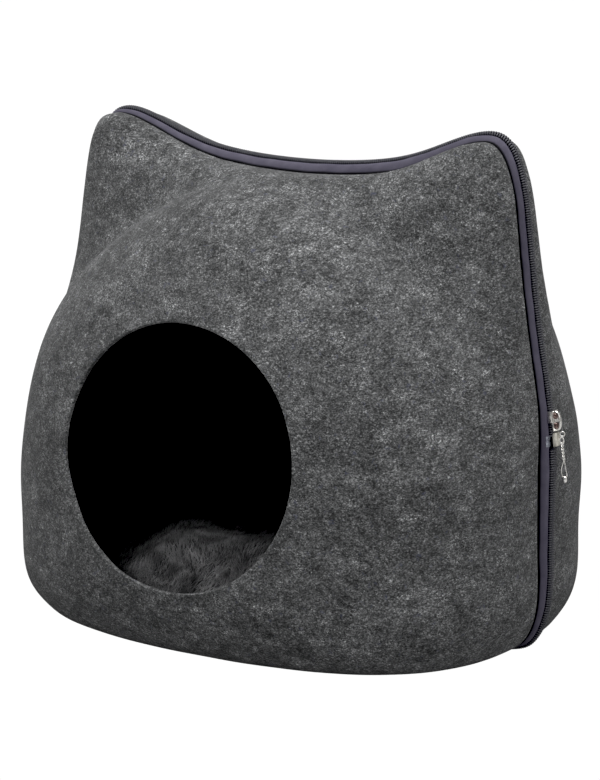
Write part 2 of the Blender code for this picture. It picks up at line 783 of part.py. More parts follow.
def main():
    clear_scene()
    cave = bpy.data.objects.new("cat_cave", None)
    bpy.context.scene.collection.objects.link(cave)
    felt = finish("felt", (0.095, 0.095, 0.095), 0.95)
    tape = finish("tape", (0.115, 0.108, 0.140), 0.75)
    teeth = finish("coil", (0.030, 0.030, 0.034), 0.45)
    metal = finish("metal", (0.72, 0.71, 0.69), 0.28, 1.0)
    plush = finish("plush", (0.055, 0.055, 0.057), 1.0)
    front_cup(cave, felt)
    back_cup(cave, felt)
    tapes(cave, tape)
    coil(cave, teeth)
    coil_tail(cave, teeth)
    bridge_top = slider(cave, metal)
    end_box(cave, metal)
    link_and_pull(bridge_top, cave, metal)
    cushion(cave, plush)


main()
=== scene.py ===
"""Felt cat cave: the looks. Two moulded felt cups, a zip all round their seam, and a plush cushion inside."""

import math

import bpy
import numpy as np
from mathutils import Matrix, Vector


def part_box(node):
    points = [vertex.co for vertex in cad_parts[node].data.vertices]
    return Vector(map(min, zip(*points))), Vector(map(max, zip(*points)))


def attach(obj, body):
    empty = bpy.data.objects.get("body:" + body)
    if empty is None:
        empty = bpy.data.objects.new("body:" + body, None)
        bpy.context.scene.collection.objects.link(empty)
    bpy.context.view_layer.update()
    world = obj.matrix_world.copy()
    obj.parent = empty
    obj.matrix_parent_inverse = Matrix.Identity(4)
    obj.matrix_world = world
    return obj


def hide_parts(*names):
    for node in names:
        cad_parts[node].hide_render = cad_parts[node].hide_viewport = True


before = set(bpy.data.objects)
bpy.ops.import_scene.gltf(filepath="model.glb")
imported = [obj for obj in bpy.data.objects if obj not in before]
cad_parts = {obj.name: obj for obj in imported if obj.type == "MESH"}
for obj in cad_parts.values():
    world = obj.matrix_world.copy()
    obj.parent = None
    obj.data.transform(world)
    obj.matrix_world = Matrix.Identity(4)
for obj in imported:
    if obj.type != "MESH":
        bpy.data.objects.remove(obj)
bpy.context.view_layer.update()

# The cups' shape, in metres: +Z up, the doorway faces -Y, the slider is on the +X side
FRONT_DEPTH = 0.164
BACK_DEPTH = 0.200
SEAM_Y = (FRONT_DEPTH - BACK_DEPTH) / 2
POLE_Z = 0.083
FELT = 0.003
CLEAR = 0.0003
HEAD = (
    # x, z of the cat's-head seam, right half, from under the base up to the dip between the ears
    (0.0000, -0.0160),
    (0.0670, -0.0160),
    (0.1750, 0.0105),
    (0.1898, 0.0790),
    (0.1885, 0.1640),
    (0.1742, 0.2440),
    (0.1628, 0.3225),
    (0.1465, 0.3450),
    (0.0990, 0.3320),
    (0.0575, 0.3215),
    (0.0000, 0.3180),
)
DOME = (
    # x, z of the round head that the ears fade into
    (0.0000, -0.0160),
    (0.0670, -0.0160),
    (0.1750, 0.0105),
    (0.1915, 0.0790),
    (0.1910, 0.1640),
    (0.1530, 0.2350),
    (0.0000, 0.3155),
)
EAR_FADE = 0.375
SEWN_BAND = 0.0165
BASE_ROUND = 0.015
FULLNESS = {
    "front": {"depth": FRONT_DEPTH, "away": -1, "sides": 2.40, "top": 2.90, "base": 2.80},
    "back": {"depth": BACK_DEPTH, "away": 1, "sides": 1.92, "top": 2.36, "base": 2.72},
}
EARS_LEAN = 0.0016           # the ears lean a little towards the slider's side
LEAN_FROM = 0.19
LEAN_REACH = 0.07
LEAN_EASED_FROM = 0.31       # over the next stretch, up to the tips, half of the lean is taken back
LEAN_EASED_REACH = 0.035
VALLEY_DEEP = 0.011
VALLEY_ANGLE = math.radians(118)
VALLEY_HALF_ANGLE = 0.25
VALLEY_AT = 0.54
VALLEY_REACH = 0.28
DOOR_RADIUS = 0.0875
DOOR_Z = 0.145

# The zip, as distances from the seam plane and heights over the felt
COIL_WIDE = 0.0055
CUT_EDGE = {"front": 0.0090, "back": 0.0105}
TAPE_THICK = 0.0010
TAPE_TOP = 0.0004
SEWN_LIFT = -FELT - CLEAR
PRESSED_HIGH = 0.0120
SLIDER_Z = 0.1705
SLIDER_LONG = 0.0175
BOX_LONG = 0.0080
TAIL_LONG = 0.0285
TAIL_GAP = 0.0010
TOOTH_PITCH = 0.0016

# How far the sewing draws each cup's rim in, and how far into the felt that reaches
DRAWN_IN = {
    # turned from straight down, in degrees, the slider's side positive; depth
    "front": (
        (-180, 0.0046), (-166, 0.0036), (-158, 0.0012), (-150, 0.0002), (-90, 0.0015), (-30, 0.0000),
        (30, 0.0000), (74, 0.0004), (86, 0.0020), (104, 0.0031), (116, 0.0006), (128, 0.0003),
        (138, 0.0008), (144, 0.0002), (151, 0.0022), (156, 0.0042), (162, 0.0060), (170, 0.0050),
        (180, 0.0046),
    ),
    "back": (
        (-180, 0.0010), (-58, 0.0010), (-30, 0.0000), (30, 0.0000), (58, 0.0010), (112, 0.0010),
        (125, 0.0030), (146, 0.0030), (158, 0.0010), (180, 0.0010),
    ),
}
DRAWN_REACH = 0.030

# How finely the cloth is laid out
SHELL_COLUMNS = 400
SHELL_ROWS = 72
SEAM_STATIONS = 640
SPLINE_STEPS = 40
HALVINGS = 40
OUTWARD_STEP = 0.004


# Laying out the moulded surface

def closed_spline(half):
    """A smooth closed curve through a right half's points and their mirror images."""
    right = np.array(half, float)
    points = np.vstack([right, (right[1:-1] * [-1, 1])[::-1]])
    count = len(points)
    following = np.roll(points, -1, 0)
    span = np.sqrt(np.linalg.norm(following - points, axis=1))
    system = np.zeros((count, count))
    bends = np.zeros((count, 2))
    for i in range(count):
        after = (i + 1) % count
        system[i, i - 1] += span[i - 1]
        system[i, i] += 2 * (span[i - 1] + span[i])
        system[i, after] += span[i]
        slope_out = (points[after] - points[i]) / span[i]
        slope_in = (points[i] - points[i - 1]) / span[i - 1]
        bends[i] = 6 * (slope_out - slope_in)
    second = np.linalg.solve(system, bends)
    curve = []
    for i in range(count):
        after = (i + 1) % count
        t = np.linspace(0, span[i], SPLINE_STEPS, endpoint=False)[:, None]
        rest = span[i] - t
        cubic = (second[i] * rest ** 3 + second[after] * t ** 3) / (6 * span[i])
        from_here = (points[i] / span[i] - second[i] * span[i] / 6) * rest
        from_next = (points[after] / span[i] - second[after] * span[i] / 6) * t
        curve.append(cubic + from_here + from_next)
    return np.vstack(curve)


def smooth_step(x):
    """Eases from 0 to 1."""
    x = np.clip(x, 0, 1)
    return x * x * (3 - 2 * x)


def polar(curve):
    """A curve's angles about the pole, from straight down, and its distances from the pole, in order."""
    angle = np.arctan2(curve[:, 0], POLE_Z - curve[:, 1])
    distance = np.hypot(curve[:, 0], curve[:, 1] - POLE_Z)
    order = np.argsort(angle)
    return angle[order], distance[order]


HEAD_CURVE = closed_spline(HEAD)
HEAD_POLAR = polar(HEAD_CURVE)
DOME_POLAR = polar(closed_spline(DOME))
SEAM_ENDS = np.vstack([HEAD_CURVE, HEAD_CURVE[:1]])
SEAM_DISTANCE = np.concatenate([[0], np.cumsum(np.linalg.norm(np.diff(SEAM_ENDS, axis=0), axis=1))])
SEAM_LONG = SEAM_DISTANCE[-1]


def fullness(cup, angle):
    """How boxy the cup's section is, by its angle about the pole."""
    down = np.cos(angle)
    to_base = (cup["base"] - cup["sides"]) * np.clip(down, 0, 1) ** 2
    to_top = (cup["top"] - cup["sides"]) * np.clip(-down, 0, 1) ** 2
    return cup["sides"] + to_base + to_top


def phase_at(cup, angle, depth):
    """The section's phase at a depth from the seam: 0 in the seam plane, a right angle at the pole."""
    return np.arcsin((depth / cup["depth"]) ** (fullness(cup, angle) / 2))


def cup_surface(cup, angle, phase):
    """Points of the felt's outer surface, by their angle about the pole and their phase."""
    power = 2 / fullness(cup, angle)
    inward = np.cos(phase) ** power
    depth = np.sin(phase) ** power
    head = np.interp(angle, *HEAD_POLAR, period=2 * np.pi)
    dome = np.interp(angle, *DOME_POLAR, period=2 * np.pi)
    from_seam = depth * cup["depth"]
    fade = smooth_step((from_seam - SEWN_BAND) / (EAR_FADE * cup["depth"] - SEWN_BAND))
    off_angle = (np.abs(angle) - VALLEY_ANGLE) / VALLEY_HALF_ANGLE
    off_depth = (depth - VALLEY_AT) / VALLEY_REACH
    valley = VALLEY_DEEP * np.exp(-off_angle ** 2 - off_depth ** 2)
    distance = (head * (1 - fade) + dome * fade - valley) * inward
    x = distance * np.sin(angle)
    z = POLE_Z - distance * np.cos(angle)
    leaning = smooth_step((z - LEAN_FROM) / LEAN_REACH)
    eased = 1 - 0.5 * smooth_step((z - LEAN_EASED_FROM) / LEAN_EASED_REACH)
    x = x + EARS_LEAN * leaning * eased
    z = np.where(np.abs(z) < BASE_ROUND, (z + BASE_ROUND) ** 2 / (4 * BASE_ROUND), np.maximum(z, 0))
    return np.stack([x, SEAM_Y + cup["away"] * from_seam, z], -1)


def seam_place(distance):
    """The x and z of a place on the seam, by its distance from under the base."""
    return [np.interp(distance, SEAM_DISTANCE, SEAM_ENDS[:, axis]) for axis in (0, 1)]


def seam_angle(distance):
    """The angle about the pole of a place on the seam."""
    x, z = seam_place(np.asarray(distance, float) % SEAM_LONG)
    return np.arctan2(x, POLE_Z - z)


def seam_outward(distance):
    """The unit vector that points out of the cave at a place on the seam, in the seam plane."""
    ahead = cup_surface(FULLNESS["back"], seam_angle(np.asarray(distance) + OUTWARD_STEP), 0.0)
    behind = cup_surface(FULLNESS["back"], seam_angle(np.asarray(distance) - OUTWARD_STEP), 0.0)
    along = ahead - behind
    along = along / np.linalg.norm(along, axis=-1, keepdims=True)
    return np.stack([along[..., 2], np.zeros_like(along[..., 0]), -along[..., 0]], -1)


def seam_distance_at_height(z):
    """Where the right side of the seam has this height."""
    side = slice(SPLINE_STEPS * 2, SPLINE_STEPS * 6)
    return float(np.interp(z, SEAM_ENDS[side, 1], SEAM_DISTANCE[side]))


def on_zip(distance, depth, lift, base_drop=0.0):
    """Points beside the seam: signed distance behind the seam plane, height over the felt, and how much
    lower that is under the base."""
    distance, depth, lift = np.broadcast_arrays(distance, depth, lift)
    angle = seam_angle(distance)
    reach = np.abs(depth)
    front = cup_surface(FULLNESS["front"], angle, phase_at(FULLNESS["front"], angle, reach))
    back = cup_surface(FULLNESS["back"], angle, phase_at(FULLNESS["back"], angle, reach))
    surface = np.where(depth[..., None] > 0, back, front)
    pressed = smooth_step(1 - surface[..., 2] / PRESSED_HIGH)
    return surface + seam_outward(distance) * (lift - base_drop * pressed)[..., None]


def drawn_in(side, angle, from_edge):
    """How far the felt lies inside its moulded surface, by its distance from the cut edge."""
    turned = (np.degrees(angle) + 180) % 360 - 180
    deep = np.interp(turned, *np.transpose(DRAWN_IN[side]))
    return deep * (1 - smooth_step(from_edge / DRAWN_REACH))


SLIDER_TOP = seam_distance_at_height(SLIDER_Z)
BOX_TOP = SLIDER_TOP - SLIDER_LONG - CLEAR
COIL_START = BOX_TOP - BOX_LONG - CLEAR
COIL_END = SLIDER_TOP - SLIDER_LONG


# Modelling helpers

WELD = 0.00002

def deselect_all():
    bpy.ops.object.select_all(action="DESELECT")


def make_active(piece):
    deselect_all()
    piece.select_set(True)
    bpy.context.view_layer.objects.active = piece


def in_edit_mode(piece, *steps):
    """Runs mesh operators on a whole piece; each step is an operator and its settings."""
    make_active(piece)
    bpy.ops.object.mode_set(mode="EDIT")
    bpy.ops.mesh.select_all(action="SELECT")
    for operator, settings in steps:
        operator(**settings)
    bpy.ops.object.mode_set(mode="OBJECT")


def weld(piece):
    """Merges the points of a piece that lie in one place."""
    in_edit_mode(piece, (bpy.ops.mesh.remove_doubles, {"threshold": WELD}))


def resize(piece, factors):
    """Stretches a piece in edit mode about its own origin."""
    middle = tuple(piece.location)
    in_edit_mode(piece, (bpy.ops.transform.resize, {"value": factors, "center_override": middle}))


def apply_modifiers(piece):
    make_active(piece)
    for step in list(piece.modifiers):
        bpy.ops.object.modifier_apply(modifier=step.name)


def thicken(piece, thickness, offset=-1.0, even=False):
    """Gives a sheet a thickness: inwards from its face, or outwards with an offset of 1."""
    wall = piece.modifiers.new("thickness", "SOLIDIFY")
    wall.thickness = thickness
    wall.offset = offset
    wall.use_even_offset = even


def soften(piece, width, angle=35):
    """Rounds a piece's edges where its faces meet at more than an angle in degrees."""
    edge = piece.modifiers.new("edges", "BEVEL")
    edge.width = width
    edge.segments = 2
    edge.limit_method = "ANGLE"
    edge.angle_limit = math.radians(angle)
    apply_modifiers(piece)


def shade(piece, angle):
    """Smooth shading, broken where faces meet at more than an angle in degrees."""
    make_active(piece)
    bpy.ops.object.shade_smooth_by_angle(angle=math.radians(angle))


def places_of(mesh):
    """A mesh's points, as a table."""
    flat = np.zeros(len(mesh.vertices) * 3)
    mesh.vertices.foreach_get("co", flat)
    return flat.reshape(-1, 3)


def set_places(mesh, points):
    """Moves a mesh's points to the places in a table."""
    mesh.vertices.foreach_set("co", points.astype(np.float32).reshape(-1))
    mesh.update()


def new_piece(name, data):
    """A piece of a mesh or curve, in the scene."""
    piece = bpy.data.objects.new(name, data)
    bpy.context.scene.collection.objects.link(piece)
    return piece


def faces_piece(name, points, faces):
    """A smoothly shaded piece from a table of points and a list of faces."""
    mesh = bpy.data.meshes.new(name)
    mesh.from_pydata(points.reshape(-1, 3).tolist(), [], faces)
    mesh.shade_smooth()
    return new_piece(name, mesh)


def laid_grid(name, points, uv):
    """A grid primitive whose rows and columns are laid on a table of points; where its sides meet they are
    welded. Its UV map holds the cloth's own lengths in metres."""
    rows, columns = points.shape[:2]
    deselect_all()
    bpy.ops.mesh.primitive_grid_add(x_subdivisions=columns - 1, y_subdivisions=rows - 1)
    piece = bpy.context.object
    piece.name = name
    mesh = piece.data
    set_places(mesh, points)
    corners = np.zeros(len(mesh.loops), np.int32)
    mesh.loops.foreach_get("vertex_index", corners)
    mesh.uv_layers.active.data.foreach_set("uv", uv.reshape(-1, 2)[corners].reshape(-1))
    weld(piece)
    return piece


def face_outwards(piece, inside):
    """Flips an open sheet whose faces look towards a point inside the cave."""
    looks = sum((face.center - inside).dot(face.normal) * face.area for face in piece.data.polygons)
    if looks < 0:
        piece.data.flip_normals()


def joined_tubes(name, rings):
    """Many closed tubes in one mesh, from a table of tube, step, side and place."""
    count, steps, sides, _ = rings.shape
    start = np.arange(count)[:, None, None] * steps * sides
    row = np.arange(steps - 1)[None, :, None] * sides
    side = np.arange(sides)[None, None, :]
    after = (side + 1) % sides
    quads = np.stack([start + row + side, start + row + after,
                      start + row + sides + after, start + row + sides + side], -1).reshape(-1, 4)
    first = np.arange(count)[:, None] * steps * sides + np.arange(sides)[None, ::-1]
    last = first + (steps - 1) * sides
    faces = quads.tolist() + first.tolist() + last[:, ::-1].tolist()
    return faces_piece(name, rings, faces)


def cad_copy(name, node_name):
    """A welded copy of a rigid node, to be finished more finely."""
    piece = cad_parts[node_name].copy()
    piece.data = piece.data.copy()
    piece.parent = None
    for key in list(piece.keys()):
        del piece[key]
    piece.name = name
    bpy.context.scene.collection.objects.link(piece)
    weld(piece)
    return piece


def settle(piece, material, slot, *nodes):
    """Gives a finished piece its material, and lets it ride and stand for its nodes; its slot is not used."""
    piece.data.materials.clear()
    piece.data.materials.append(material)
    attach(piece, "root")
    if nodes:
        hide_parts(*nodes)


# Materials

def new_group(name, *outputs):
    """An empty shader node group from a vector to named values; returns it with its vector and its end."""
    group = bpy.data.node_groups.new(name, "ShaderNodeTree")
    group.interface.new_socket("Vector", in_out="INPUT", socket_type="NodeSocketVector")
    for label in outputs:
        group.interface.new_socket(label, in_out="OUTPUT", socket_type="NodeSocketFloat")
    entry = group.nodes.new("NodeGroupInput")
    leave = group.nodes.new("NodeGroupOutput")
    return group, entry.outputs["Vector"], leave


def node(tree, kind, vector=None, **values):
    """A node with its unlinked inputs set; a vector is linked."""
    made = tree.nodes.new(kind)
    for key, value in values.items():
        made.inputs[key].default_value = value
    if vector is not None:
        tree.links.new(vector, made.inputs["Vector"])
    return made


def noise(tree, vector, **values):
    """A noise texture's value."""
    return node(tree, "ShaderNodeTexNoise", vector, **values).outputs["Fac"]


def math_node(tree, operation, first, second=None):
    """A maths node; its inputs are sockets or numbers."""
    made = tree.nodes.new("ShaderNodeMath")
    made.operation = operation
    for i, value in enumerate((first, second)):
        if value is None:
            continue
        if isinstance(value, (int, float)):
            made.inputs[i].default_value = value
        else:
            tree.links.new(value, made.inputs[i])
    return made.outputs[0]


def blend_colours(tree, factor, first, second, blend="MIX"):
    """A mix of two colours, each a socket or a colour."""
    made = tree.nodes.new("ShaderNodeMix")
    made.data_type = "RGBA"
    made.blend_type = blend
    if isinstance(factor, (int, float)):
        made.inputs["Factor"].default_value = factor
    else:
        tree.links.new(factor, made.inputs["Factor"])
    for label, value in (("A", first), ("B", second)):
        socket = next(s for s in made.inputs if s.name == label and s.type == "RGBA")
        if isinstance(value, tuple):
            socket.default_value = (*value, 1.0)
        else:
            tree.links.new(value, socket)
    return next(s for s in made.outputs if s.type == "RGBA")


def map_range(tree, value, low, high, to_low=0.0, to_high=1.0, smooth=False):
    """A value brought from one range to another."""
    made = tree.nodes.new("ShaderNodeMapRange")
    if smooth:
        made.interpolation_type = "SMOOTHSTEP"
    tree.links.new(value, made.inputs["Value"])
    for label, number in (("From Min", low), ("From Max", high), ("To Min", to_low), ("To Max", to_high)):
        made.inputs[label].default_value = number
    return made.outputs["Result"]


def start_material(name, roughness, metallic=0.0):
    """A material with its shader node, its tree and the piece's own coordinates."""
    material = bpy.data.materials.new(name)
    material.use_nodes = True
    tree = material.node_tree
    shader = tree.nodes["Principled BSDF"]
    shader.inputs["Roughness"].default_value = roughness
    shader.inputs["Metallic"].default_value = metallic
    coordinates = tree.nodes.new("ShaderNodeTexCoord")
    return material, tree, shader, coordinates


def add_bump(tree, shader, height, distance, strength):
    """Lets a height stand out of a finish."""
    bump = node(tree, "ShaderNodeBump", Distance=distance, Strength=strength)
    tree.links.new(height, bump.inputs["Height"])
    tree.links.new(bump.outputs["Normal"], shader.inputs["Normal"])


# The finishes, in linear light; a pair is a finish's dark and light colour
FELT_GREY = (0.0705, 0.0715, 0.0725)
FELT_BLUE = (0.075, 0.080, 0.125)
TAPE_DARK = (0.084, 0.078, 0.108)
TAPE_LIGHT = (0.128, 0.120, 0.156)
# painted shade between the weave's threads
TAPE_HOLLOW_SHADE = (0.030, 0.028, 0.044)
TAPE_SHADED = (0.016, 0.015, 0.024)
# painted shadow: near black in the gap beside the felt's cut edge
TAPE_GAP_SHADOW = (0.001, 0.001, 0.002)
TAPE_BY_COIL = (0.006, 0.006, 0.014)
COIL_BLACK = ((0.050, 0.050, 0.058), (0.110, 0.110, 0.124))
NAVY_THREAD = ((0.004, 0.004, 0.009), (0.012, 0.012, 0.026))
BRIGHT_METAL = ((0.82, 0.80, 0.76), (0.94, 0.93, 0.91))
# painted reflection: the pinkish brown seen through the slider bridge's windows
REFLECTION_PAD_METAL = ((0.12, 0.085, 0.080), (0.30, 0.225, 0.210))
PALE_METAL = ((0.50, 0.48, 0.42), (0.74, 0.72, 0.64))
# the film's pale bluish patches: partly real clouding, partly painted highlight
FILM_HAZE_AND_HIGHLIGHT = ((0.30, 0.34, 0.42), (0.62, 0.66, 0.72))
PLUSH_COVER = ((0.030, 0.030, 0.031), (0.150, 0.150, 0.154))
PLUSH_PILE = ((0.050, 0.050, 0.051), (0.420, 0.420, 0.426))

GRAIN_BANDS = (
    # noise scale per metre, detail, strength of its light and dark
    (1050, 1.0, 4.0),
    (520, 1.0, 2.0),
    (210, 1.5, 1.3),
    (80, 1.0, 1.10),
    (30, 1.0, 0.70),
)
FIBRE_LAYERS = (
    # scale per metre, distortion, stretch across the fibres, line width, strength
    (230, 2.6, (1.0, 0.75, 2.0), 0.050, 1.10),
    (280, 3.2, (1.7, 1.2, 1.0), 0.045, 0.85),
    (190, 2.2, (1.3, 1.0, 1.6), 0.045, -0.85),
    (115, 3.4, (1.0, 0.8, 1.5), 0.026, 0.45),
)
THREADS_PER_METRE = 1600


def fibre_group():
    """Felted fibres from a place in metres: how much lighter or darker the felt is there, a mask of stray
    blue fibres and a height."""
    group, vector, leave = new_group("felted_fibres", "Lightness", "Blue fibres", "Height")

    def stretched(scale, detail, distortion, stretch):
        shift = (scale * 0.037, scale * 0.011, scale * 0.023)
        place = node(group, "ShaderNodeMapping", vector, Scale=stretch, Location=shift)
        return noise(group, place.outputs["Vector"], Scale=scale, Detail=detail, Roughness=0.6,
                     Distortion=distortion)

    total = 0.0
    for scale, detail, strength in GRAIN_BANDS:
        off = math_node(group, "SUBTRACT", stretched(scale, detail, 0.4, (0.9, 0.6, 1.15)), 0.5)
        total = math_node(group, "ADD", math_node(group, "MULTIPLY", off, strength), total)
    grain = total
    pale = 0.0
    thin = map_range(group, stretched(60, 2.0, 0.6, (1.0, 1.0, 1.5)), 0.42, 0.66, 0.1, 1.0)
    for scale, distortion, stretch, width, strength in FIBRE_LAYERS:
        off = math_node(group, "SUBTRACT", stretched(scale, 1.5, distortion, stretch), 0.5)
        off = math_node(group, "ABSOLUTE", off)
        line = map_range(group, off, 0.0, width, 1.0, 0.0, smooth=True)
        line = math_node(group, "MULTIPLY", line, thin)
        total = math_node(group, "ADD", math_node(group, "MULTIPLY", line, strength), total)
        if strength > 0:
            pale = math_node(group, "MAXIMUM", line, pale)
    blue = map_range(group, stretched(330, 0.0, 1.0, (1.0, 1.0, 1.0)), 0.74, 0.82)
    height = math_node(group, "ADD", math_node(group, "MULTIPLY", grain, 0.35),
                       math_node(group, "MULTIPLY", pale, 0.5))
    lightness = math_node(group, "EXPONENT", total)
    for label, value in (("Lightness", lightness), ("Blue fibres", blue), ("Height", height)):
        group.links.new(value, leave.inputs[label])
    return group


def weave_group():
    """A fine plain weave from a UV map in metres: the rounded height of its crossing threads."""
    group, vector, leave = new_group("woven_threads", "Threads")
    parts = node(group, "ShaderNodeSeparateXYZ", vector)
    waves = []
    for axis in ("X", "Y"):
        turn = math_node(group, "MULTIPLY", parts.outputs[axis], THREADS_PER_METRE * math.pi)
        waves.append(math_node(group, "SINE", turn))
    over = math_node(group, "GREATER_THAN", math_node(group, "MULTIPLY", *waves), 0.0)
    under = math_node(group, "SUBTRACT", 1.0, over)
    along = math_node(group, "MULTIPLY", math_node(group, "ABSOLUTE", waves[0]), over)
    across = math_node(group, "MULTIPLY", math_node(group, "ABSOLUTE", waves[1]), under)
    group.links.new(math_node(group, "ADD", along, across), leave.inputs["Threads"])
    return group


FIBRES = fibre_group()
WEAVE = weave_group()


def place_group(tree, group, vector):
    """A shared effect, placed in a material."""
    made = tree.nodes.new("ShaderNodeGroup")
    made.node_tree = group
    tree.links.new(vector, made.inputs["Vector"])
    return made


def felt_material():
    """Needled felt of dark and light grey fibres."""
    material, tree, shader, coordinates = start_material("felt", 0.95)
    fibres = place_group(tree, FIBRES, coordinates.outputs["Object"])
    base = blend_colours(tree, 1.0, FELT_GREY, fibres.outputs["Lightness"], "MULTIPLY")
    bluish = math_node(tree, "MULTIPLY", fibres.outputs["Blue fibres"], 0.4)
    base = blend_colours(tree, bluish, base, FELT_BLUE)
    tree.links.new(base, shader.inputs["Base Color"])
    shader.inputs["Sheen Weight"].default_value = 0.10
    shader.inputs["Sheen Roughness"].default_value = 0.5
    shader.inputs["Specular IOR Level"].default_value = 0.15
    add_bump(tree, shader, fibres.outputs["Height"], 0.0005, 0.7)
    return material


# Across a tape: where its painted shade starts after the felt's edge and ends before the coil, where the
# painted shadow in the gap beside the felt is full and where it is gone, and how wide the navy line beside
# the coil is
SHADE_FROM = 0.0035
SHADE_TO = 0.0020
GAP_SHADOW_FULL = 0.0028
GAP_SHADOW_GONE = 0.0041
NAVY_WIDE = 0.0007


def tape_material(name, cut_edge, coil_foot):
    """Fine woven tape, purplish grey, with painted shade between its threads, painted shade that darkens it
    from the coil towards the felt's cut edge, a painted shadow in the gap beside that edge, and dark navy
    beside the coil.
    Both places are lengths across the tape, from its sewn side."""
    material, tree, shader, coordinates = start_material(name, 0.72)
    weave = place_group(tree, WEAVE, coordinates.outputs["UV"])
    soft = noise(tree, coordinates.outputs["Object"], Scale=90.0, Detail=4.0, Roughness=0.6)
    cloth = blend_colours(tree, map_range(tree, soft, 0.3, 0.7), TAPE_DARK, TAPE_LIGHT)
    # painted shade where the weave's threads dip under
    hollow_shade = math_node(tree, "MULTIPLY", math_node(tree, "SUBTRACT", 1.0, weave.outputs["Threads"]), 0.45)
    cloth = blend_colours(tree, hollow_shade, cloth, TAPE_HOLLOW_SHADE)
    across = node(tree, "ShaderNodeSeparateXYZ", coordinates.outputs["UV"]).outputs["Y"]
    # painted shade: darker from the coil towards the felt's cut edge
    shadow = map_range(tree, across, cut_edge + SHADE_FROM, coil_foot - SHADE_TO, 0.42, 0.0)
    cloth = blend_colours(tree, shadow, cloth, TAPE_SHADED)
    # painted shadow in the gap beside the felt's cut edge
    gap_shadow = map_range(tree, across, cut_edge + GAP_SHADOW_FULL, cut_edge + GAP_SHADOW_GONE, 1.0, 0.0, smooth=True)
    cloth = blend_colours(tree, gap_shadow, cloth, TAPE_GAP_SHADOW)
    beside_coil = map_range(tree, across, coil_foot - NAVY_WIDE, coil_foot, 0.0, 1.0, smooth=True)
    cloth = blend_colours(tree, beside_coil, cloth, TAPE_BY_COIL)
    tree.links.new(cloth, shader.inputs["Base Color"])
    shader.inputs["Specular IOR Level"].default_value = 0.2
    add_bump(tree, shader, weave.outputs["Threads"], 0.00015, 0.6)
    return material


def scuffed_material(name, colours, roughness, scuffs_per_metre, metallic=0.0):
    """A hard, smooth finish whose tone and shine vary a little with its scuffs, by its two colours and its
    least and greatest roughness."""
    material, tree, shader, coordinates = start_material(name, roughness[0], metallic)
    scuffs = noise(tree, coordinates.outputs["Object"], Scale=scuffs_per_metre, Detail=3.0, Roughness=0.6)
    tone = map_range(tree, scuffs, 0.35, 0.7)
    tree.links.new(blend_colours(tree, tone, *colours), shader.inputs["Base Color"])
    tree.links.new(map_range(tree, scuffs, 0.3, 0.7, *roughness), shader.inputs["Roughness"])
    return material


def thread_material():
    """Dark navy sewing thread."""
    material, tree, shader, coordinates = start_material("thread", 0.6)
    plies = noise(tree, coordinates.outputs["Object"], Scale=1500.0, Detail=2.0)
    tree.links.new(blend_colours(tree, plies, *NAVY_THREAD), shader.inputs["Base Color"])
    return material


def film_material():
    """Clear heat-sealed film, clouded in pale bluish patches that are partly painted highlight."""
    material, tree, shader, coordinates = start_material("film", 0.12)
    haze_and_highlight = noise(tree, coordinates.outputs["Object"], Scale=500.0, Detail=3.0)
    tree.links.new(blend_colours(tree, haze_and_highlight, *FILM_HAZE_AND_HIGHLIGHT), shader.inputs["Base Color"])
    tree.links.new(map_range(tree, haze_and_highlight, 0.35, 0.68, 0.04, 0.34), shader.inputs["Alpha"])
    return material


def plush_material(name, colours):
    """Dark plush, lighter where its pile is brushed up."""
    material, tree, shader, coordinates = start_material(name, 0.85)
    place = coordinates.outputs["Object"]
    brushed = noise(tree, place, Scale=60.0, Detail=4.0, Roughness=0.6, Distortion=0.8)
    fine = noise(tree, place, Scale=900.0, Detail=3.0, Roughness=0.6)
    tone = math_node(tree, "MULTIPLY", map_range(tree, brushed, 0.3, 0.7),
                     map_range(tree, fine, 0.25, 0.75, 0.5, 1.0))
    tree.links.new(blend_colours(tree, tone, *colours), shader.inputs["Base Color"])
    shader.inputs["Specular IOR Level"].default_value = 0.1
    add_bump(tree, shader, fine, 0.0008, 0.7)
    return material


# The felt cups

LUMP_HIGH = 0.0007           # the felt's soft unevenness
LUMP_OFF_SEAM = 0.03         # it grows over this much from the sewn band, and over the next from the floor
LUMP_OFF_FLOOR = 0.02
CUT_ROUND = 0.0006
DOOR_TURN_FROM = 0.15        # from this share of the way on, rows turn from the seam's to the doorway's
LUMP_WAVES = (
    # waves per metre along x, y and z, phase
    (31.0, 17.0, 23.0, 0.4),
    (-19.0, 37.0, 29.0, 2.1),
    (43.0, -27.0, -35.0, 4.4),
    (61.0, 53.0, -47.0, 1.3),
)


def lumps(points):
    """A smooth uneven height over the felt, that fades out towards the zip and the floor."""
    height = 0.0
    for x_rate, y_rate, z_rate, phase in LUMP_WAVES:
        turn = points @ np.array([x_rate, y_rate, z_rate]) * 2 * np.pi / 3
        height = height + np.sin(turn + phase)
    off_seam = smooth_step((np.abs(points[..., 1] - SEAM_Y) - SEWN_BAND) / LUMP_OFF_SEAM)
    off_floor = smooth_step(points[..., 2] / LUMP_OFF_FLOOR)
    return LUMP_HIGH * height / len(LUMP_WAVES) * off_seam * off_floor


def outward_from(points):
    """Unit normals of a table of points, rows by columns, facing away from the middle of the cave."""
    down = np.gradient(points, axis=0)
    around = np.gradient(points, axis=1)
    normal = np.cross(down, around)
    normal /= np.maximum(np.linalg.norm(normal, axis=-1, keepdims=True), 1e-9)
    away = points - np.array([0, SEAM_Y, POLE_Z])
    turn = np.sign(np.sum(normal * away, -1, keepdims=True))
    return normal * np.where(turn == 0, 1, turn)


def cloth_lengths(points):
    """UV of a table of points: metres along each row and down each column."""
    along = np.linalg.norm(np.diff(points, axis=1), axis=-1)
    across = np.linalg.norm(np.diff(points, axis=0), axis=-1)
    u = np.concatenate([[0], np.cumsum(along.mean(0))])
    v = np.concatenate([[0], np.cumsum(across.mean(1))])
    return np.stack(np.meshgrid(u, v), -1)


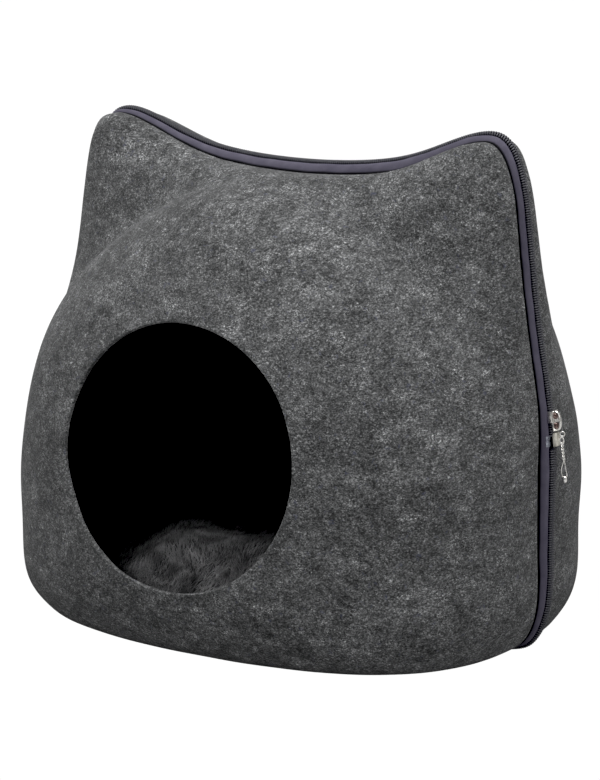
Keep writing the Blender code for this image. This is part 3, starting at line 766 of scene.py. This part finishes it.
def doorway_rim(cup, angle):
    """Angle about the pole and phase of the doorway's rim, for a direction from the doorway's middle."""
    x = DOOR_RADIUS * np.sin(angle)
    z = DOOR_Z - DOOR_RADIUS * np.cos(angle)
    about_pole = np.arctan2(x, POLE_Z - z)
    low = np.zeros_like(about_pole)
    high = np.full_like(about_pole, np.pi / 2)
    target = np.hypot(x, z - POLE_Z)
    for _ in range(HALVINGS):
        middle = (low + high) / 2
        point = cup_surface(cup, about_pole, middle)
        outside = np.hypot(point[:, 0], point[:, 2] - POLE_Z) > target
        low = np.where(outside, middle, low)
        high = np.where(outside, high, middle)
    return about_pole, (low + high) / 2


COLUMN_AT = np.linspace(0, SEAM_LONG, SHELL_COLUMNS + 1)
COLUMN_ANGLE = seam_angle(COLUMN_AT)


def cup_of_felt(side, turn, last_phase, felt):
    """One cup, laid in rows from the seam to a last phase, while its columns turn about the pole: soft lumps,
    a rim drawn in by its sewing, 3 mm of felt and softly rounded cut edges."""
    cup = FULLNESS[side]
    first = phase_at(cup, COLUMN_ANGLE, CUT_EDGE[side])
    rows = []
    for share in np.linspace(0, 1, SHELL_ROWS):
        swing = smooth_step((share - DOOR_TURN_FROM) / (1 - DOOR_TURN_FROM))
        rows.append(cup_surface(cup, COLUMN_ANGLE + turn * swing, first + (last_phase - first) * share))
    points = np.array(rows)
    drop = drawn_in(side, COLUMN_ANGLE, np.abs(points[..., 1] - SEAM_Y) - CUT_EDGE[side])
    normals = outward_from(points)
    if side == "back":
        normals[-1] = (0, 1, 0)
    points = points + normals * lumps(points)[..., None] - seam_outward(COLUMN_AT) * drop[..., None]
    if side == "back":
        points[-1] = points[-1].mean(0)
    piece = laid_grid(side + "_cup", points, cloth_lengths(points))
    face_outwards(piece, Vector((0, SEAM_Y, POLE_Z)))
    thicken(piece, FELT, even=True)
    soften(piece, CUT_ROUND, 50)
    shade(piece, 60)
    settle(piece, felt, "felt", side + "_shell")
    return piece


def front_cup(felt):
    """The cup with the doorway: its rows run from the seam to the doorway's rim."""
    x, z = seam_place(COLUMN_AT)
    rim_angle, rim_phase = doorway_rim(FULLNESS["front"], np.arctan2(x, DOOR_Z - z))
    turn = (rim_angle - COLUMN_ANGLE + np.pi) % (2 * np.pi) - np.pi
    piece = cup_of_felt("front", turn, rim_phase, felt)


def back_cup(felt):
    """The closed cup: its rows run from the seam to the middle of the back."""
    piece = cup_of_felt("back", 0.0, np.pi / 2, felt)


# The zip

FRONT_ROLL = (
    # distance before the seam plane, height over the felt, share of the rim's drawing in:
    # sewn under the felt, up the gap beside its cut edge, over the soft roll and down to the coil
    (0.0145, -0.0033, 1.00),
    (0.0108, -0.0033, 1.00),
    (0.0090, -0.0032, 1.00),
    (0.0082, -0.0024, 0.98),
    (0.0078, -0.0012, 0.92),
    (0.0070, -0.0002, 0.78),
    (0.0058, 0.0006, 0.56),
    (0.0044, 0.0011, 0.34),
    (0.0030, 0.0014, 0.17),
    (0.0018, 0.0014, 0.07),
    (0.0009, 0.0010, 0.02),
    (0.0003, 0.0003, 0.00),
    (-0.0004, 0.0000, 0.00),
    (-0.0018, -0.0004, 0.00),
    (-0.0028, -0.0010, 0.00),
    (-0.0042, -0.0011, 0.00),
)
BACK_ROLL = (
    (0.0160, -0.0033, 1.00),
    (0.0122, -0.0033, 1.00),
    (0.0104, -0.0032, 1.00),
    (0.0098, -0.0020, 1.00),
    (0.0094, -0.0006, 0.90),
    (0.0086, 0.0002, 0.70),
    (0.0076, 0.0005, 0.40),
    (0.0066, 0.0003, 0.15),
    (0.0058, 0.0000, 0.00),
    (0.0046, 0.0003, 0.00),
    (0.0030, 0.0004, 0.00),
)
ROLL_STEPS = 3               # points between two of a section's own
ROLL_UNEVEN = 0.00018        # how much the roll's height wanders along the seam
ROLL_WAVES = (38, 61)        # in so many waves round it


def refine_section(section, steps):
    """A smooth line through a section's points, by cubic interpolation."""
    points = np.array(section)
    padded = np.vstack([2 * points[0] - points[1], points, 2 * points[-1] - points[-2]])
    line = []
    for i in range(1, len(padded) - 2):
        before, here, there, beyond = padded[i - 1:i + 3]
        for t in np.arange(steps) / steps:
            line.append(0.5 * (2 * here + (there - before) * t
                               + (2 * before - 5 * here + 4 * there - beyond) * t ** 2
                               + (3 * here - before - 3 * there + beyond) * t ** 3))
    line.append(points[-1])
    return np.array(line)


def zip_tape(name, node_name, side, section):
    """One woven tape, sewn under the felt's edge and rolled softly up to the coil."""
    away = FULLNESS[side]["away"]
    cut_edge = CUT_EDGE[side]
    line = refine_section(section, ROLL_STEPS)
    distance = np.linspace(0, SEAM_LONG, SEAM_STATIONS + 1)
    few, many = ROLL_WAVES
    uneven = (np.sin(distance * 2 * np.pi * few / SEAM_LONG + away)
              + np.sin(distance * 2 * np.pi * many / SEAM_LONG + 2 * away)) * ROLL_UNEVEN / 2
    rows = []
    for depth, lift, drawn in line:
        raised = smooth_step((lift - SEWN_LIFT) / (TAPE_TOP - SEWN_LIFT))
        drop = drawn * drawn_in(side, seam_angle(distance), depth - cut_edge)
        rows.append(on_zip(distance, away * depth, lift + uneven * raised - drop, base_drop=lift - SEWN_LIFT))
    points = np.array(rows)
    lengths = cloth_lengths(points)
    across = lengths[:, 0, 1]
    shown = float(np.interp(-(cut_edge - 0.0004), -line[:, 0], across))
    coil_side = 0.0 if side == "front" else COIL_WIDE
    foot = float(np.interp(-(coil_side + 0.0004), -line[:, 0], across))
    material = tape_material(name, shown, foot)
    piece = laid_grid(name, points, lengths)
    face_outwards(piece, Vector((0, SEAM_Y, POLE_Z)))
    thicken(piece, TAPE_THICK)
    apply_modifiers(piece)
    shade(piece, 60)
    settle(piece, material, "tape", node_name)


CORE_SECTION = (
    # distance behind the seam plane, height over the felt
    (0.0007, 0.0008),
    (0.0007, 0.0018),
    (0.0014, 0.0023),
    (0.0041, 0.0023),
    (0.0048, 0.0018),
    (0.0048, 0.0008),
    (0.0007, 0.0008),
)
CORE_STATIONS = 360


def coil_core(material):
    """The cord inside the coil, which closes the gaps between its teeth."""
    distance = np.linspace(COIL_END, COIL_END + SEAM_LONG - (COIL_END - COIL_START), CORE_STATIONS)
    points = np.array([on_zip(distance, depth, lift, base_drop=TAPE_DROP) for depth, lift in CORE_SECTION])
    piece = laid_grid("coil_core", points, cloth_lengths(points))
    in_edit_mode(
        piece,
        (bpy.ops.mesh.select_all, {"action": "DESELECT"}),
        (bpy.ops.mesh.select_non_manifold, {}),
        (bpy.ops.mesh.edge_face_add, {}),
        (bpy.ops.mesh.select_all, {"action": "SELECT"}),
        (bpy.ops.mesh.normals_make_consistent, {"inside": False}),
    )
    shade(piece, 30)
    settle(piece, material, "coil")


TOOTH_PATH = (
    # distance in from the coil's side, height over the felt
    (0.00025, 0.0007),
    (0.00005, 0.0018),
    (0.00060, 0.0027),
    (0.00150, 0.0030),
    (0.00240, 0.0029),
    (0.00290, 0.0020),
)
TOOTH_RADIUS = 0.00048
TOOTH_SIDES = 5
TOOTH_TURN = np.arange(TOOTH_SIDES) / TOOTH_SIDES * 2 * np.pi
TOOTH_LEAN = 0.0005          # a tooth's head stands this far along the seam from its foot
TAPE_DROP = TAPE_TOP - SEWN_LIFT


def tooth_rings(distance, path, from_side, way):
    """Rings of bent teeth, each from one side of the coil across to just past its middle."""
    path = np.array(path)
    along = np.gradient(path, axis=0)
    along /= np.linalg.norm(along, axis=1, keepdims=True)
    normal = np.stack([-along[:, 1], along[:, 0]], 1)
    across = path[:, None, 0] + normal[:, None, 0] * TOOTH_RADIUS * np.sin(TOOTH_TURN)
    lift = path[:, None, 1] + normal[:, None, 1] * TOOTH_RADIUS * np.sin(TOOTH_TURN)
    lean = np.linspace(0, TOOTH_LEAN, len(path))[:, None]
    step = lean + TOOTH_RADIUS * np.cos(TOOTH_TURN) * way
    return on_zip(distance[:, None, None] + step, from_side + way * across, lift, base_drop=TAPE_DROP)


def coil_teeth(material):
    """The closed coil: teeth from both sides that interlock, from the slider round to the end box."""
    run = SEAM_LONG - (COIL_END - COIL_START)
    count = int(run / TOOTH_PITCH)
    distance = COIL_END + np.arange(count) * run / count
    front = tooth_rings(distance, TOOTH_PATH, 0.0, 1)
    back = tooth_rings(distance + TOOTH_PITCH / 2, TOOTH_PATH, COIL_WIDE, -1)
    piece = joined_tubes("zip_teeth", np.concatenate([front, back]))
    settle(piece, material, "coil", "zip_coil")


SPARE_PATH = (
    # distance behind the spare end's near side, height over the felt
    (0.0001, 0.0007),
    (0.0002, 0.0015),
    (0.0010, 0.0020),
    (0.0020, 0.0018),
    (0.0025, 0.0009),
)


def spare_teeth(material):
    """The spare end of the chain beside the coil, below the end box."""
    top = BOX_TOP - BOX_LONG / 2
    distance = top - np.arange(int(TAIL_LONG / TOOTH_PITCH)) * TOOTH_PITCH - TOOTH_RADIUS
    rings = tooth_rings(distance, SPARE_PATH, COIL_WIDE + TAIL_GAP, 1)
    piece = joined_tubes("spare_teeth", rings)
    settle(piece, material, "coil", "coil_tail")


STITCH_LONG = 0.0022
STITCH_PITCH = 0.0026
STITCH_RADIUS = 0.00030
STITCH_STEPS = 4
STITCH_RISE = 0.00045
STITCH_ROWS = (
    # distance behind the seam plane, height over the felt
    (-0.0001, 0.0004),
    (COIL_WIDE + 0.0002, 0.0003),
)


def stitches(material):
    """The chain stitch that holds the coil to each tape, a short thread loop at a time."""
    count = int(SEAM_LONG / STITCH_PITCH)
    start = np.arange(count)[:, None, None] * SEAM_LONG / count
    share = np.linspace(0, 1, STITCH_STEPS)[:, None]
    swell = STITCH_RADIUS * (0.35 + 0.65 * np.sin(share * np.pi))
    rise = STITCH_RISE * np.sin(share * np.pi)
    rings = []
    for depth, low in STITCH_ROWS:
        across = depth + swell * np.cos(TOOTH_TURN)
        lift = low + rise + swell * np.sin(TOOTH_TURN)
        rings.append(on_zip(start + share * STITCH_LONG, across, lift, base_drop=TAPE_DROP))
    piece = joined_tubes("coil_stitches", np.concatenate(rings))
    settle(piece, material, "coil")


# The slider and what hangs on it, in millimetres from a place on the felt under the slider's middle:
# height over the felt, distance behind the coil's middle, height up along the seam
SLIDER_RAISED = 0.0010       # in metres, from the middle of the CAD slider up to that place
PLATE_LIFT = 3.9
PLATE_THICK = 1.2
PLATE_WIDE = 9.8
PLATE_LONG = 13.4
PLATE_NECK = 0.62            # the lower end is this share as wide as the upper
NECK_FROM = 1.5              # the plate narrows from here down, over the next stretch
NECK_REACH = 4.5
PLATE_CUTS = 5
FLANGE_SIZE = (2.6, 0.7, 7.2)
FLANGE_PLACE = (2.9, 0.47 * PLATE_WIDE, 2.9)
LUG_SIZE = (1.5, 1.8, 1.6)
LUG_PLACE = (4.2, -PLATE_WIDE / 2, 0.9)
BRIDGE_ROUTE = (
    (4.2, 0, 6.3), (6.0, 0, 6.2), (7.6, 0, 4.2), (8.2, 0, 1.0),
    (8.1, 0, -2.5), (7.0, 0, -5.4), (4.2, 0, -6.2),
)
BRIDGE_RADIUS = 0.62
BRIDGE_FLAT = 2.1            # the bridge is this much wider than thick
POST_SIZE = (3.8, 1.4, 1.0)
POST_PLACE = (6.0, -0.2, -0.2)
POST_TILT = math.radians(-24)
# two pads under the bridge that carry that painted reflection
REFLECTION_PAD_HALF = (1.4, 1.9, 2.3)
REFLECTION_PAD_PLACES = ((5.0, 0.6, 3.2), (5.0, 0.6, -3.1))
END_HALF_SIZE = (2.6, 2.7, 9.0)
END_PLACE = (3.8, 0.9, -12.4)
END_HALVES_APART = 2.9
WIRE_RADIUS = 0.42
RING_TURN = math.radians(25)
LINK_WIDE = 3.9
LINK_PLACE = (7.8, 2.2, -9.1)
LOOP_WIDE = 3.6
LOOP_TALL = 6.4
LOOP_RADIUS = 0.50
LOOP_PLACE = (6.5, 2.9, -13.5)
TWIST_TOP = (6.5, 3.2, -16.8)
TWIST_END = (6.6, 4.0, -27.1)
TWIST_WIDE = 0.55
TWIST_TURNS = 2.25
TWIST_STEPS = 18
PULL_LEFT = ((4.5, 4.2, -31.5), (3.9, 4.2, -34.5), (4.4, 4.2, -37.8))
PULL_END = (5.7, 4.2, -39.8)
PULL_RIGHT = ((7.7, 4.2, -37.4), (7.4, 4.2, -34.0), (7.0, 4.2, -30.5))
PULL_TIP_HALF = (2.0, 1.2, 2.4)


def slider_frame():
    """Turns a piece that is built in the slider's millimetres to its place on the seam."""
    distance = SLIDER_TOP - SLIDER_LONG / 2 + SLIDER_RAISED
    origin = on_zip(distance, COIL_WIDE / 2, 0.0)
    out = seam_outward(distance)
    along = np.array([-out[2], 0.0, out[0]])
    frame_of = Matrix((
        (out[0], 0.0, along[0], origin[0]),
        (0.0, 1.0, 0.0, origin[1]),
        (out[2], 0.0, along[2], origin[2]),
        (0.0, 0.0, 0.0, 1.0),
    ))
    return frame_of @ Matrix.Scale(0.001, 4)


def seat_on_zip(piece):
    """Writes a piece's own place into its mesh and then sets it at the slider."""
    make_active(piece)
    bpy.ops.object.transform_apply(location=True, rotation=True, scale=True)
    piece.data.transform(slider_frame())
    piece.data.update()


def block(name, place, size):
    """A cuboid at its place, with its size in its mesh."""
    deselect_all()
    bpy.ops.mesh.primitive_cube_add(size=1.0, location=place)
    piece = bpy.context.object
    piece.name = name
    resize(piece, size)
    return piece


def soft_block(name, place, size, edge):
    """A cuboid with rounded edges."""
    piece = block(name, place, size)
    soften(piece, edge)
    return piece


def rounded(place, half):
    """An egg-shaped piece at its place, by its half sizes."""
    deselect_all()
    bpy.ops.mesh.primitive_uv_sphere_add(segments=24, ring_count=14, radius=1.0, location=place)
    piece = bpy.context.object
    piece.scale = half
    return piece


def join(name, pieces):
    """Makes one piece of several, under a new name."""
    deselect_all()
    for piece in pieces:
        piece.select_set(True)
    bpy.context.view_layer.objects.active = pieces[0]
    bpy.ops.object.join()
    pieces[0].name = name
    return pieces[0]


def slider_body():
    """The plate over the coil, wide above and narrow below, with a flange down each side."""
    plate = block("slider_plate", (PLATE_LIFT, 0, 0), (PLATE_THICK, PLATE_WIDE, PLATE_LONG))
    in_edit_mode(plate, (bpy.ops.mesh.subdivide, {"number_cuts": PLATE_CUTS}))
    for point in plate.data.vertices:
        share = smooth_step((NECK_FROM - point.co.z) / NECK_REACH)
        point.co.y *= 1 - (1 - PLATE_NECK) * float(share)
    soften(plate, 0.3)
    lift, across, up = FLANGE_PLACE
    flanges = [soft_block("slider_flange", (lift, side * across, up), FLANGE_SIZE, 0.25) for side in (-1, 1)]
    return [plate, *flanges, soft_block("slider_lug", LUG_PLACE, LUG_SIZE, 0.4)]


def wire(name, route, radius):
    """A round wire along a smooth route, made a mesh."""
    points = refine_section(route, 6)
    line = bpy.data.curves.new(name, "CURVE")
    line.dimensions = "3D"
    line.bevel_depth = radius
    line.bevel_resolution = 3
    line.use_fill_caps = True
    spline = line.splines.new("POLY")
    spline.points.add(len(points) - 1)
    spline.points.foreach_set("co", np.column_stack([points, np.ones(len(points))]).reshape(-1))
    make_active(new_piece(name, line))
    bpy.ops.object.convert(target="MESH")
    return bpy.context.object


def ring(name, place, wide, tall, radius):
    """A wire ring, drawn taller in edit mode and turned about the upright."""
    deselect_all()
    bpy.ops.mesh.primitive_torus_add(major_radius=wide / 2 - radius, minor_radius=radius, major_segments=36,
                                     minor_segments=12, rotation=(math.pi / 2, 0, 0))
    piece = bpy.context.object
    piece.name = name
    bpy.ops.object.transform_apply(location=False, rotation=True, scale=False)
    resize(piece, (1, 1, tall / wide))
    piece.rotation_euler.z = RING_TURN
    piece.location = place
    return piece


def slider(metal, reflection_metal):
    """Plate, flanges and the arched bridge over them, with two pinkish-brown pads under the bridge whose
    colour is painted reflection.
    """
    parts = slider_body()
    arch = wire("slider_bridge", BRIDGE_ROUTE, BRIDGE_RADIUS)
    resize(arch, (1, BRIDGE_FLAT, 1))
    post = soft_block("slider_post", POST_PLACE, POST_SIZE, 0.3)
    post.rotation_euler.y = POST_TILT
    for part in (*parts, arch, post):
        seat_on_zip(part)
    body = join("slider", [*parts, arch, post])
    shade(body, 40)
    settle(body, metal, "metal", "zip_slider")
    pads = []
    for place in REFLECTION_PAD_PLACES:
        pad = rounded(place, REFLECTION_PAD_HALF)
        seat_on_zip(pad)
        pads.append(pad)
    pads = join("slider_reflection_pads", pads)
    shade(pads, 180)
    settle(pads, reflection_metal, "metal")


def chain_end(metal):
    """The chain's end box: a flat plate folded over the coil, with a seam down its middle."""
    halves = []
    lift, across, up = END_PLACE
    for side in (-1, 1):
        place = (lift, across + side * END_HALVES_APART / 2, up)
        half = soft_block("end_half", place, END_HALF_SIZE, 0.35)
        seat_on_zip(half)
        halves.append(half)
    box = join("chain_end_box", halves)
    shade(box, 40)
    settle(box, metal, "metal", "end_box")


def pull(metal):
    """The link through the bridge, the oval loop and the wire pull: a twisted neck that opens into a loop."""
    link = ring("slider_link", LINK_PLACE, LINK_WIDE, LINK_WIDE, WIRE_RADIUS)
    seat_on_zip(link)
    shade(link, 180)
    settle(link, metal, "metal", "pull_link")
    top, end = np.array(TWIST_TOP), np.array(TWIST_END)
    share = np.linspace(0, 1, TWIST_STEPS + 1)[:, None]
    angle = share * TWIST_TURNS * 2 * np.pi
    axis = top + (end - top) * share
    swing = TWIST_WIDE * np.hstack([np.cos(angle), np.sin(angle), np.zeros_like(angle)])
    route = np.vstack([axis - swing, PULL_LEFT, [PULL_END], PULL_RIGHT, (axis + swing)[::-1]])
    loop = ring("pull_loop", LOOP_PLACE, LOOP_WIDE, LOOP_TALL, LOOP_RADIUS)
    neck = wire("pull_wire", route, WIRE_RADIUS)
    tip = rounded(PULL_END, PULL_TIP_HALF)
    for part in (loop, neck, tip):
        seat_on_zip(part)
    whole = join("slider_pull", [loop, neck, tip])
    shade(whole, 180)
    settle(whole, metal, "metal", "zip_pull")


FILM_LONG = 0.0070
FILM_TOP = 0.0005            # it starts this far above the slider's lower end
FILM_THICK = 0.00012
FILM_SECTION = (
    # distance before the seam plane, height over the felt
    (0.0054, 0.0011),
    (0.0040, 0.0015),
    (0.0026, 0.0018),
    (0.0012, 0.0017),
    (0.0001, 0.0013),
)


def end_film(material):
    """The clear film that is sealed on the tape's end beside the slider."""
    top = COIL_END + FILM_TOP
    distance = np.linspace(top - FILM_LONG, top, 12)
    line = refine_section(FILM_SECTION, 3)
    points = np.array([on_zip(distance, -depth, lift) for depth, lift in line])
    piece = laid_grid("end_film", points, cloth_lengths(points))
    face_outwards(piece, Vector((0, SEAM_Y, POLE_Z)))
    thicken(piece, FILM_THICK, offset=1.0)
    apply_modifiers(piece)
    shade(piece, 60)
    piece.data.materials.clear()
    piece.data.materials.append(material)
    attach(piece, "root")


# The cushion

CUSHION_START = (0.955, 0.955, 0.86)   # the cover's size before it is filled, as shares of the solid's
CUSHION_VOXEL = 0.006
CUSHION_PRESSURE = 4.0
CUSHION_STEPS = 20
CUSHION_CAP = 0.012
FOLD_HIGH = 0.0045
FOLDS_FROM = 0.018           # height over the cushion's underside where its folds start
FOLDS_REACH = 0.020
FOLD_WAVES = (
    # radians per metre along x and y, phase, strength
    (61, 23, 1.0, 1.0),
    (-39, 74, 0.6, 1.0),
    (33, 88, 2.2, 0.8),
)


def puffed(piece):
    """The cushion's cover blown up by its filling: cloth under pressure, with its travel capped."""
    rest = places_of(piece.data)
    cloth = piece.modifiers.new("cover", "CLOTH")
    cloth.settings.use_pressure = True
    cloth.settings.uniform_pressure_force = CUSHION_PRESSURE
    cloth.settings.quality = 5
    cloth.settings.effector_weights.gravity = 0.0
    cloth.point_cache.frame_start = 1
    cloth.point_cache.frame_end = CUSHION_STEPS
    scene = bpy.context.scene
    for step in range(1, CUSHION_STEPS + 1):
        scene.frame_set(step)
    evaluated = piece.evaluated_get(bpy.context.evaluated_depsgraph_get())
    shift = places_of(evaluated.data) - rest
    piece.modifiers.remove(cloth)
    scene.frame_set(1)
    far = np.linalg.norm(shift, axis=1, keepdims=True)
    shift *= np.minimum(1, CUSHION_CAP / np.maximum(far, 1e-9))
    set_places(piece.data, rest + shift)


def cushion(material):
    """The filled cushion: its solid made smaller, puffed up again and folded softly."""
    piece = cad_copy("plush_cushion", "cushion")
    low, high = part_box("cushion")
    middle = (low + high) / 2
    set_places(piece.data, (places_of(piece.data) - middle) * CUSHION_START + middle)
    remesh = piece.modifiers.new("even", "REMESH")
    remesh.mode = "VOXEL"
    remesh.voxel_size = CUSHION_VOXEL
    apply_modifiers(piece)
    puffed(piece)
    co = places_of(piece.data)
    over = smooth_step((co[:, 2] - low.z - FOLDS_FROM) / FOLDS_REACH)
    folds = 0.0
    for x_rate, y_rate, phase, strength in FOLD_WAVES:
        folds = folds + strength * np.sin(co[:, 0] * x_rate + co[:, 1] * y_rate + phase)
    co[:, 2] += FOLD_HIGH * folds / sum(wave[-1] for wave in FOLD_WAVES) * over
    co[:, 2] = np.maximum(co[:, 2], low.z)
    co[:, :2] = np.clip(co[:, :2], [low.x, low.y], [high.x, high.y])
    set_places(piece.data, co)
    fine = piece.modifiers.new("fine", "SUBSURF")
    fine.levels = 1
    fine.render_levels = 1
    apply_modifiers(piece)
    shade(piece, 180)
    settle(piece, material, "plush", "cushion")
    return piece


PILE_COUNT = 42000
PILE_LONG = 0.0060
PILE_WIDE = 0.00042
PILE_SWIRLS = (
    # how far the brushing turns, in radians; radians per metre along x and y, phase
    (0.7, 20, 45, 0.0),
    (0.6, 38, -17, math.pi / 2),
)
PILE_BRUSHED = 0.7           # the mean direction, in radians from +X
PILE_STRAY = 0.35


def cushion_pile(cushion_piece, material):
    """Short plush pile over the cushion's top, brushed in slowly turning directions."""
    rng = np.random.default_rng(7)
    mesh = cushion_piece.data
    mesh.calc_loop_triangles()
    corners = np.zeros(len(mesh.loop_triangles) * 3, np.int32)
    mesh.loop_triangles.foreach_get("vertices", corners)
    triangle = places_of(mesh)[corners.reshape(-1, 3)]
    normal = np.cross(triangle[:, 1] - triangle[:, 0], triangle[:, 2] - triangle[:, 0])
    size = np.linalg.norm(normal, axis=1)
    normal /= np.maximum(size[:, None], 1e-12)
    weight = size * (normal[:, 2] > 0.05)
    chosen = rng.choice(len(triangle), PILE_COUNT, p=weight / weight.sum())
    a, b = rng.random((2, PILE_COUNT, 1))
    flip = a + b > 1
    a, b = np.where(flip, 1 - a, a), np.where(flip, 1 - b, b)
    corner = triangle[chosen]
    root = corner[:, 0] + a * (corner[:, 1] - corner[:, 0]) + b * (corner[:, 2] - corner[:, 0])
    up = normal[chosen]
    swirl = PILE_BRUSHED + rng.normal(0, PILE_STRAY, PILE_COUNT)
    for turn, x_rate, y_rate, phase in PILE_SWIRLS:
        swirl = swirl + turn * np.sin(root[:, 0] * x_rate + root[:, 1] * y_rate + phase)
    brushed = np.stack([np.cos(swirl), np.sin(swirl), np.zeros(PILE_COUNT)], 1)
    brushed -= up * np.sum(brushed * up, 1, keepdims=True)
    brushed /= np.maximum(np.linalg.norm(brushed, axis=1, keepdims=True), 1e-9)
    long = PILE_LONG * rng.uniform(0.6, 1.15, (PILE_COUNT, 1))
    side = np.cross(up, brushed) * PILE_WIDE / 2
    middle = root + (up * 0.38 + brushed * 0.45) * long
    tip = root + (up * 0.42 + brushed * 1.00) * long
    points = np.stack([root - side, root + side, middle + side * 0.8, middle - side * 0.8, tip], 1)
    start = np.arange(PILE_COUNT)[:, None] * 5
    faces = (start + [0, 1, 2, 3]).tolist() + (start + [3, 2, 4]).tolist()
    settle(faces_piece("cushion_pile", points, faces), material, "plush")


# Camera, floor and light, from the photograph's framing

CAMERA_TURN = math.radians(31.9)
CAMERA_RISE = math.radians(11.93)
CAMERA_FAR = 1.996
CAMERA_LENS = 134.8
CAMERA_AIM = Vector((-0.0009, SEAM_Y, 0.1624))
BLACK_LEVEL = 0.012          # the picture's deep shadows are printed black
WORLD_LIGHT = 0.240
SEEN_WHITE = 1.02
FLOOR_GREY = 0.46            # what the floor throws back
SOFTBOXES = (
    # name, place, aim, side, watts
    ("top_softbox", (0.28, -0.75, 2.5), (0, 0, 0.15), 2.4, 101),
    ("right_softbox", (2.3, -0.3, 1.2), (0, 0, 0.15), 1.6, 9),
)


def camera():
    """The camera, turned to the slider's side and a little above the cave."""
    back = Vector((math.sin(CAMERA_TURN) * math.cos(CAMERA_RISE),
                   -math.cos(CAMERA_TURN) * math.cos(CAMERA_RISE), math.sin(CAMERA_RISE)))
    bpy.ops.object.camera_add(location=CAMERA_AIM + back * CAMERA_FAR)
    eye = bpy.context.object
    eye.rotation_euler = (-back).to_track_quat("-Z", "Y").to_euler()
    eye.data.lens = CAMERA_LENS
    eye.data.sensor_width = 36.0
    eye.data.clip_start = 0.05
    bpy.context.scene.camera = eye


def softbox(name, place, aim, side, power):
    """A square white lamp that looks at a place."""
    bpy.ops.object.light_add(type="AREA", location=place)
    light = bpy.context.object
    light.name = name
    light.rotation_euler = (Vector(aim) - Vector(place)).to_track_quat("-Z", "Y").to_euler()
    light.data.size = side
    light.data.energy = power


def white_where_seen(tree, surface_output, dim):
    """Pure white to the camera; everything else meets a dimmer surface, so that it only lights softly."""
    path = tree.nodes.new("ShaderNodeLightPath")
    seen = tree.nodes.new("ShaderNodeMixShader")
    white = node(tree, "ShaderNodeEmission", Strength=SEEN_WHITE)
    tree.links.new(path.outputs["Is Camera Ray"], seen.inputs["Fac"])
    tree.links.new(dim.outputs[0], seen.inputs[1])
    tree.links.new(white.outputs[0], seen.inputs[2])
    tree.links.new(seen.outputs[0], surface_output)


def floor_and_light():
    """A white sweep and soft light from above, as for a cut-out picture."""
    deselect_all()
    bpy.ops.mesh.primitive_plane_add(size=12.0, location=(0, 0, 0))
    floor = bpy.context.object
    floor.name = "studio_floor"
    material = bpy.data.materials.new("studio_floor")
    material.use_nodes = True
    tree = material.node_tree
    shader = tree.nodes["Principled BSDF"]
    shader.inputs["Base Color"].default_value = (FLOOR_GREY, FLOOR_GREY, FLOOR_GREY, 1.0)
    shader.inputs["Roughness"].default_value = 1.0
    shader.inputs["Specular IOR Level"].default_value = 0.0
    white_where_seen(tree, tree.nodes["Material Output"].inputs["Surface"], shader)
    floor.data.materials.append(material)

    world = bpy.data.worlds.new("studio")
    bpy.context.scene.world = world
    world.use_nodes = True
    sky = world.node_tree
    background = sky.nodes["Background"]
    background.inputs["Color"].default_value = (1, 1, 1, 1)
    background.inputs["Strength"].default_value = WORLD_LIGHT
    white_where_seen(sky, sky.nodes["World Output"].inputs["Surface"], background)

    for lamp in SOFTBOXES:
        softbox(*lamp)
    scene = bpy.context.scene
    scene.view_settings.view_transform = "Standard"
    scene.view_settings.look = "None"
    scene.view_settings.use_curve_mapping = True
    scene.view_settings.curve_mapping.black_level = (BLACK_LEVEL,) * 3
    scene.view_settings.curve_mapping.update()


camera()
floor_and_light()
felt = felt_material()
thread = thread_material()
coil = scuffed_material("coil", COIL_BLACK, (0.34, 0.55), 700.0)
metal = scuffed_material("metal", BRIGHT_METAL, (0.19, 0.32), 420.0, 1.0)
reflection_metal = scuffed_material("reflection_metal", REFLECTION_PAD_METAL, (0.19, 0.32), 420.0, 1.0)
pale_metal = scuffed_material("pale_metal", PALE_METAL, (0.40, 0.53), 420.0, 0.35)
front_cup(felt)
back_cup(felt)
zip_tape("front_zip_tape", "front_tape", "front", FRONT_ROLL)
zip_tape("back_zip_tape", "back_tape", "back", BACK_ROLL)
coil_core(thread)
coil_teeth(coil)
spare_teeth(coil)
stitches(thread)
slider(metal, reflection_metal)
chain_end(pale_metal)
pull(metal)
end_film(film_material())
plush_cushion = cushion(plush_material("plush", PLUSH_COVER))
cushion_pile(plush_cushion, plush_material("pile", PLUSH_PILE))
